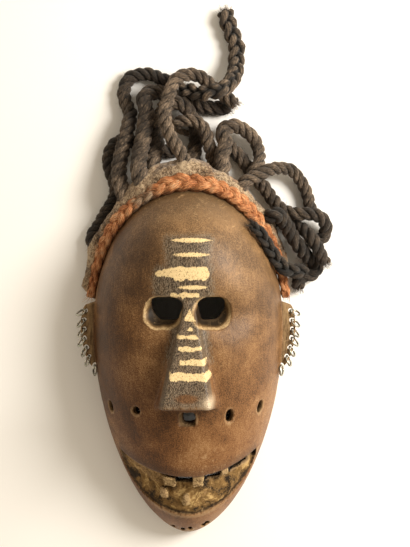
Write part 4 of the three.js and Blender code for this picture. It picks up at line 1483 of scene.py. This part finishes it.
cloth_material = make_cloth_material()
raffia_material = make_raffia_material()
metal_material = make_metal_material()
add_cap()
add_braid()
for ear_name, ear_side in (("left", -1), ("right", 1)):
    for ring_order in range(RINGS_PER_EAR):
        add_ring(ear_name, ear_side, ring_order)


# Stage: camera, floor and light, in metres

FLOOR_REACH = 3.0
FLOOR_COLOUR = (0.95, 0.94, 0.92, 1.0)
FLOOR_ROUGHNESS = 0.9
LAMP_PLACE = (0.55, 0.27, 0.50)
LAMP_AIM = (0.0, 0.03, 0.03)
LAMP_SIZE = 0.34
LAMP_POWER = 8.6
LAMP_COLOUR = (1.0, 0.95, 0.87)

# Strength of the light from low round the part and from straight above, and how much leans to the right
WORLD_LOW = 1.62
WORLD_HIGH = 0.16
WORLD_SIDE = 0.30
WORLD_COLOUR = (1.0, 0.86, 0.67, 1.0)


def add_camera():
    data = bpy.data.cameras.new("camera")
    data.lens = LENS
    camera = add_object("camera", data)
    camera.location = metres([(CAMERA_X, CAMERA_Y, CAMERA_HEIGHT)])[0]
    bpy.context.scene.camera = camera


def add_floor():
    mesh = bpy.data.meshes.new("floor")
    corners = [(x * FLOOR_REACH, y * FLOOR_REACH, 0) for x, y in ((-1, -1), (1, -1), (1, 1), (-1, 1))]
    mesh.from_pydata(corners, [], [(0, 1, 2, 3)])
    shader = Shader("floor_paper")
    shader.surface.inputs["Base Color"].default_value = FLOOR_COLOUR
    shader.surface.inputs["Roughness"].default_value = FLOOR_ROUGHNESS
    mesh.materials.append(shader.material)
    add_object("floor", mesh)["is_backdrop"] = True


def add_lamp():
    data = bpy.data.lights.new("window", "AREA")
    data.shape = "DISK"
    data.size = LAMP_SIZE
    data.energy = LAMP_POWER
    data.color = LAMP_COLOUR
    lamp = add_object("window", data)
    lamp.location = LAMP_PLACE
    x, y, z = unit(np.subtract(LAMP_AIM, LAMP_PLACE))
    lamp.rotation_euler = (0.0, -math.acos(-z), math.atan2(y, x))


def add_world():
    world = bpy.data.worlds.new("studio")
    world.use_nodes = True
    tree = world.node_tree
    toward = add_node(tree, "SeparateXYZ", {0: add_node(tree, "TexCoord", {}).outputs["Generated"]}).outputs
    spans = [
        {"Value": toward["Z"], "To Min": WORLD_LOW, "To Max": WORLD_HIGH},
        {"Value": toward["X"], "From Min": -1.0, "To Min": 1 - WORLD_SIDE, "To Max": 1 + WORLD_SIDE},
    ]
    parts = {order: add_node(tree, "MapRange", span).outputs[0] for order, span in enumerate(spans)}
    strength = add_node(tree, "Math", parts, operation="MULTIPLY").outputs[0]
    for name, value in (("Color", WORLD_COLOUR), ("Strength", strength)):
        feed(tree, tree.nodes["Background"].inputs[name], value)
    bpy.context.scene.world = world


bpy.context.scene.view_settings.view_transform = "Standard"
add_camera()
add_floor()
add_lamp()
add_world()

boxes = [[list(corner) for corner in box] for box in (cad_box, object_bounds())]
